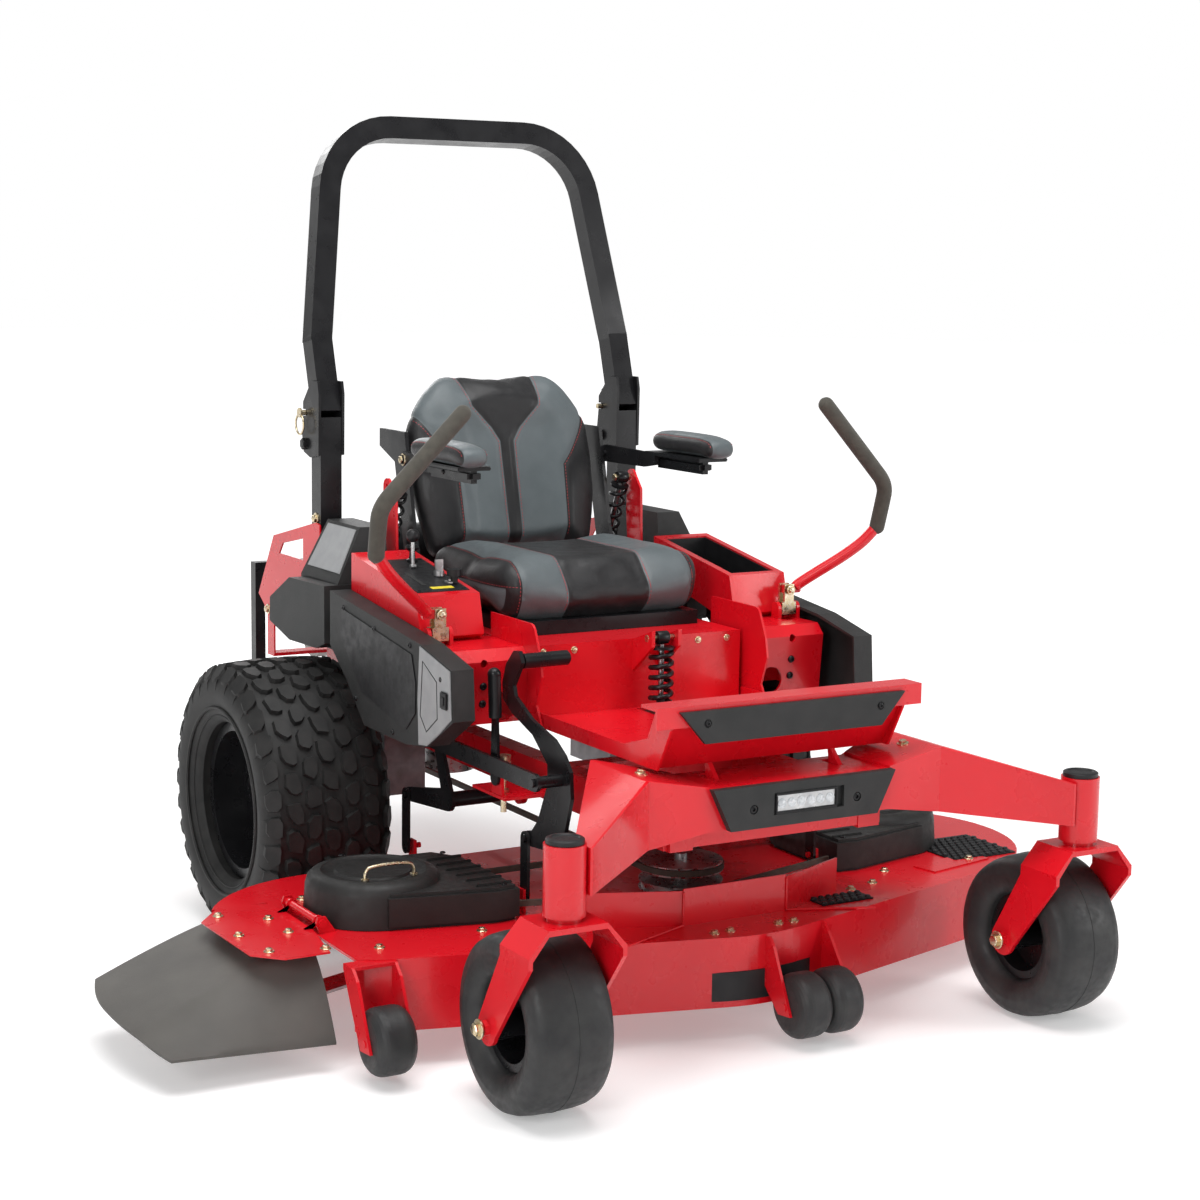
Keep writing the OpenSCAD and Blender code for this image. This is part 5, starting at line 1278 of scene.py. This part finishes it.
def patch(s, x0, x1, y0, y1, lift, thick, bevel):
    """A thin plate lying on the slope."""
    corners = ((x0, y1), (x0, y0), (x1, y0), (x1, y1))
    slab(s, [(x, y, console_top(y) + lift) for x, y in corners], thick, bevel)


ON_PLATE = 1.3  # slots and marks start just inside the plate's top
s = Shape().use(dark_plastic)
patch(s, -436, -318, -462, -232, 0, 1.4, 0.8)
s.use(charcoal)
for y0, y1, x in ((-300, -250, -350), (-420, -330, -400)):
    patch(s, x - 5, x + 5, y0, y1, ON_PLATE, 0.8, 0.3)
s.use(yellow)
patch(s, -395, -345, -446, -432, ON_PLATE, 0.5, 0.2)
s.use(black)
lever_knob = [(12, 0), (12, 5), (7, 8), (6, 22), (13, 26), (15, 31), (12, 36), (1, 37)]
s.turned((-350, -255, console_top(-255) + 1), UP, lever_knob, 24)
s.use(steel)
s.turned((-336, -410, console_top(-410) + 1), UP, [(13, 0), (13, 3), (9, 5), (9, 8), (1, 8.4)], 24)
for x, y in ((-428, -242), (-326, -242), (-428, -452), (-326, -452)):
    s.screw((x, y, console_top(y) + 1.2), UP, 4)
s.done("control_plate", "platform")
s = Shape().use(dark_plastic)
X0, X1, Y0, Y1, LOW = 322.6, 433.4, -465.4, -184.6, 744.5
s.box((X0, Y0, LOW), (X1, Y1, LOW + 3), 1)
for x0, x1 in ((X0, X0 + 2.5), (X1 - 2.5, X1)):
    s.plate([(Y0, LOW), (Y0, console_top(Y0) - 3), (Y1, console_top(Y1) - 3), (Y1, LOW)], x0, x1, "x", 0.8)
for y0, y1 in ((Y0, Y0 + 2.5), (Y1 - 2.5, Y1)):
    s.box((X0, y0, LOW), (X1, y1, console_top(min(y0, y1)) - 3), 0.8)
for i in range(8):
    s.box((X0 + 10, Y0 + 24 + 32 * i, LOW + 2.5), (X1 - 10, Y0 + 30 + 32 * i, LOW + 5), 1)
s.done("bin_liner", "platform")
lo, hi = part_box("throttle_lever")
ball_x, ball_y = ((lo[0] + hi[0]) / 2 - MIDDLE) / MM, ((lo[1] + hi[1]) / 2 - AXLE) / MM
BALL_R = 14.4
s = Shape().use(dark_plastic)
ball = [(BALL_R * math.sin(t), BALL_R - BALL_R * math.cos(t))
        for t in (math.pi * i / 14 + 0.02 for i in range(14))]
s.turned((ball_x, ball_y, hi[2] / MM + 0.4 - 2 * BALL_R), UP, ball + [(0.3, 2 * BALL_R)], 24)
s.done("throttle_ball", "throttle")
print("consoles done")

# %% [markdown]
# ## Deck trim
# Step pads of black studs let a foot rest on the deck, weld beads run where the plates meet, and a plain
# black band follows the front wall's curve.

# %% Step pads, welds and the front band
def weld(s, points, r=2.6):
    """A bead: a round tube along straight runs."""
    path = []
    for a, b in zip(points, points[1:]):
        a, b = Vector(a), Vector(b)
        steps = max(2, int((b - a).length / 5))
        path += [tuple(a.lerp(b, i / steps)) for i in range(steps)]
    path.append(points[-1])
    s.tube(path, r, 8)


STUD_STEP = 18
s = Shape().use(dark_plastic)
studs = 0
for x0, y0, x1, y1 in ((664, -848, 834, -676), (204, -1004, 330, -950)):
    nx, ny = int((x1 - x0) / STUD_STEP), int((y1 - y0) / STUD_STEP)
    base, _ = touch("deck_shell", ((x0 + x1) / 2, (y0 + y1) / 2, 400), DOWN)
    z = base[2] if base else 208.0
    s.box((x0, y0, z), (x1, y1, z + 3), 1.2)
    for i in range(nx):
        for j in range(ny):
            x, y = x0 + 9 + i * STUD_STEP + (9 if j % 2 else 0), y0 + 9 + j * STUD_STEP
            if x < x1 - 5:
                s.turned((x, y, z + 2.8), UP, [(6.5, 0), (6.0, 3.0), (4.6, 4.4), (0.4, 4.8)], 8)
                studs += 1
s.done("step_pads", "deck")
s = Shape().use(dark_plastic)
rings = []
for i in range(41):
    t = math.radians(-90 - 46 + 92 * i / 40)
    rings.append([at(r * math.cos(t), -790 + r * math.sin(t), z) for r, z in
                  ((318.1, 82), (319.6, 82.8), (319.6, 139.2), (318.1, 140))])
made = s.loft(rings)
bmesh.ops.recalc_face_normals(s.bm, faces=made)
s.done("deck_front_band", "deck")
w = Shape().use(red)
for side, name in SIDES:
    weld(w, [(side * 121, -993.5, 210), (side * 290, -1062, 210)])
    weld(w, [(side * 121, -993.5, 212), (side * 121, -993.5, 276)])
w.done("deck_welds", "deck")
print("studs", studs)

# %% [markdown]
# ## Engine detail
# From above and behind, the engine shows a round air screen of bent wire, the air cleaner's clamp bands
# and a barred heat guard over the muffler. Each is tubes or turned bands round a box read from the CAD.

# %% Engine detail
s = Shape().use(dark_plastic)
CAN_R, CAN_Y = 71.0, 176.0
can_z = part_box("air_cleaner")[1][2] / MM - CAN_R
band = [(CAN_R - 0.5, 0), (CAN_R + 1.8, 0.8), (CAN_R + 1.8, 7.2), (CAN_R - 0.5, 8)]
for x in (-262, -190, 10, 48):
    s.turned((x, CAN_Y, can_z), LEFT, band, 48)
s.use(zinc)
for x in (-186, 14):
    s.box((x - 3, CAN_Y - CAN_R - 8, can_z - 8), (x + 7, CAN_Y - CAN_R + 2, can_z + 12), 2)
s.done("air_cleaner_bands", "chassis")
lo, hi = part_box("engine_shroud")
shroud_x, shroud_y = ((lo[0] + hi[0]) / 2 - MIDDLE) / MM, ((lo[1] + hi[1]) / 2 - AXLE) / MM
shroud_top = hi[2] / MM
s = Shape().use(steel)
for i in range(7):
    r = 20 + i * 15
    s.tube([(shroud_x + r * math.cos(t), shroud_y + r * math.sin(t), shroud_top + 1.4) for t in around(48)],
           1.3, 6, closed=True)
for i in range(8):
    a = math.pi * i / 8
    s.tube([(shroud_x - 112 * math.cos(a), shroud_y - 112 * math.sin(a), shroud_top + 2.2),
            (shroud_x + 112 * math.cos(a), shroud_y + 112 * math.sin(a), shroud_top + 2.2)], 1.3, 6)
s.done("air_screen", "chassis")
lo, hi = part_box("muffler")
MUFFLER_R = 66.0
GUARD_R = MUFFLER_R + 9
muffler_y, muffler_z = (hi[1] - AXLE) / MM - MUFFLER_R, ((lo[2] + hi[2]) / 2) / MM


def round_muffler(x, r, degrees):
    t = math.radians(degrees)
    return x, muffler_y + r * math.cos(t), muffler_z + r * math.sin(t)


s = Shape().use(black)
for i in range(15):
    for ends in ((-190, -100), (-92, -4), (4, 92), (100, 190)):
        s.tube([round_muffler(x, GUARD_R, -62 + 8.4 * i) for x in ends], 2.1, 8)
for x in (-194, -96, 0, 96, 194):
    s.tube([round_muffler(x, GUARD_R, -66 + 126 * k / 20) for k in range(21)], 3.2, 8)
for x in (-194, 194):
    for a in (-66, 60):
        s.tube([round_muffler(x, r, a) for r in (MUFFLER_R - 2, GUARD_R)], 3.2, 8)
s.done("muffler_guard", "chassis")
print("engine detail done")

# %% [markdown]
# ## Floor and light
# The floor is plain and pale, and lies just under the tyres. It also glows with painted light, faintly under
# the machine and more strongly further out, so that it fades into the white background. Big soft lamps hang
# above, in front, to the side and behind, as in a product studio, and put long highlights on the red steel.

# %% Floor and light
def area_light(name, p, aim, w, h, watts, tint=(1, 1, 1)):
    data = bpy.data.lights.new(name, "AREA")
    data.shape, data.size, data.size_y, data.energy, data.color = "RECTANGLE", w, h, watts, tint
    o = bpy.data.objects.new(name, data)
    o.location = p
    o.rotation_euler = (Vector(aim) - Vector(p)).to_track_quat("-Z", "Y").to_euler()
    bpy.context.scene.collection.objects.link(o)


bm = bmesh.new()
bmesh.ops.create_circle(bm, cap_ends=True, segments=64, radius=40, matrix=Matrix.Translation((0, 0, -0.0005)))
mesh = bpy.data.meshes.new("floor")
bm.to_mesh(mesh)
bm.free()
glowing_floor = finish("glowing_floor", (0.8, 0.8, 0.8), 0.8, spec=0.1)
# painted glow: the floor gives off light, 0.3 within two metres of its centre, rising to 0.86 five metres
# out, so it fades into the white background
glowing_floor.node_tree.nodes["Principled BSDF"].inputs["Emission Color"].default_value = (1, 1, 1, 1)
away = add(glowing_floor, "ShaderNodeVectorMath", operation="LENGTH")
link(glowing_floor, spot(glowing_floor), away.inputs[0])
glow = ramp(glowing_floor, away.outputs["Value"], 0.3, 0.86, 2.0, 5.0)
link(glowing_floor, glow, glowing_floor.node_tree.nodes["Principled BSDF"].inputs["Emission Strength"])
mesh.materials.append(glowing_floor)
floor = bpy.data.objects.new("floor", mesh)
bpy.context.scene.collection.objects.link(floor)
world = bpy.data.worlds.new("studio")
world.use_nodes = True
# the light in the room is soft and grey, and the camera sees white
sky = world.node_tree.nodes
sky["Background"].inputs["Color"].default_value = (1, 1, 1, 1)
sky["Background"].inputs["Strength"].default_value = 0.38
seen, white = sky.new("ShaderNodeLightPath"), sky.new("ShaderNodeBackground")
mix = sky.new("ShaderNodeMixShader")
for a, b in ((seen.outputs["Is Camera Ray"], mix.inputs[0]), (sky["Background"].outputs[0], mix.inputs[1]),
             (white.outputs[0], mix.inputs[2]), (mix.outputs[0], sky["World Output"].inputs[0])):
    world.node_tree.links.new(a, b)
white.inputs["Color"].default_value = (1, 1, 1, 1)
bpy.context.scene.world = world
area_light("top_light", (-0.5, -0.8, 4.6), (0, 0, 0.4), 3.6, 3.0, 190)
area_light("front_light", (-4.2, -3.4, 2.4), (0, -0.2, 0.6), 1.6, 2.0, 90)
area_light("side_light", (3.6, -3.6, 1.9), (0, 0, 0.6), 1.2, 2.2, 60)
area_light("back_light", (0.5, 4.6, 2.6), (0, 0.2, 0.8), 3.0, 1.8, 60)
bpy.context.scene.view_settings.view_transform = "Standard"
print("stage set")
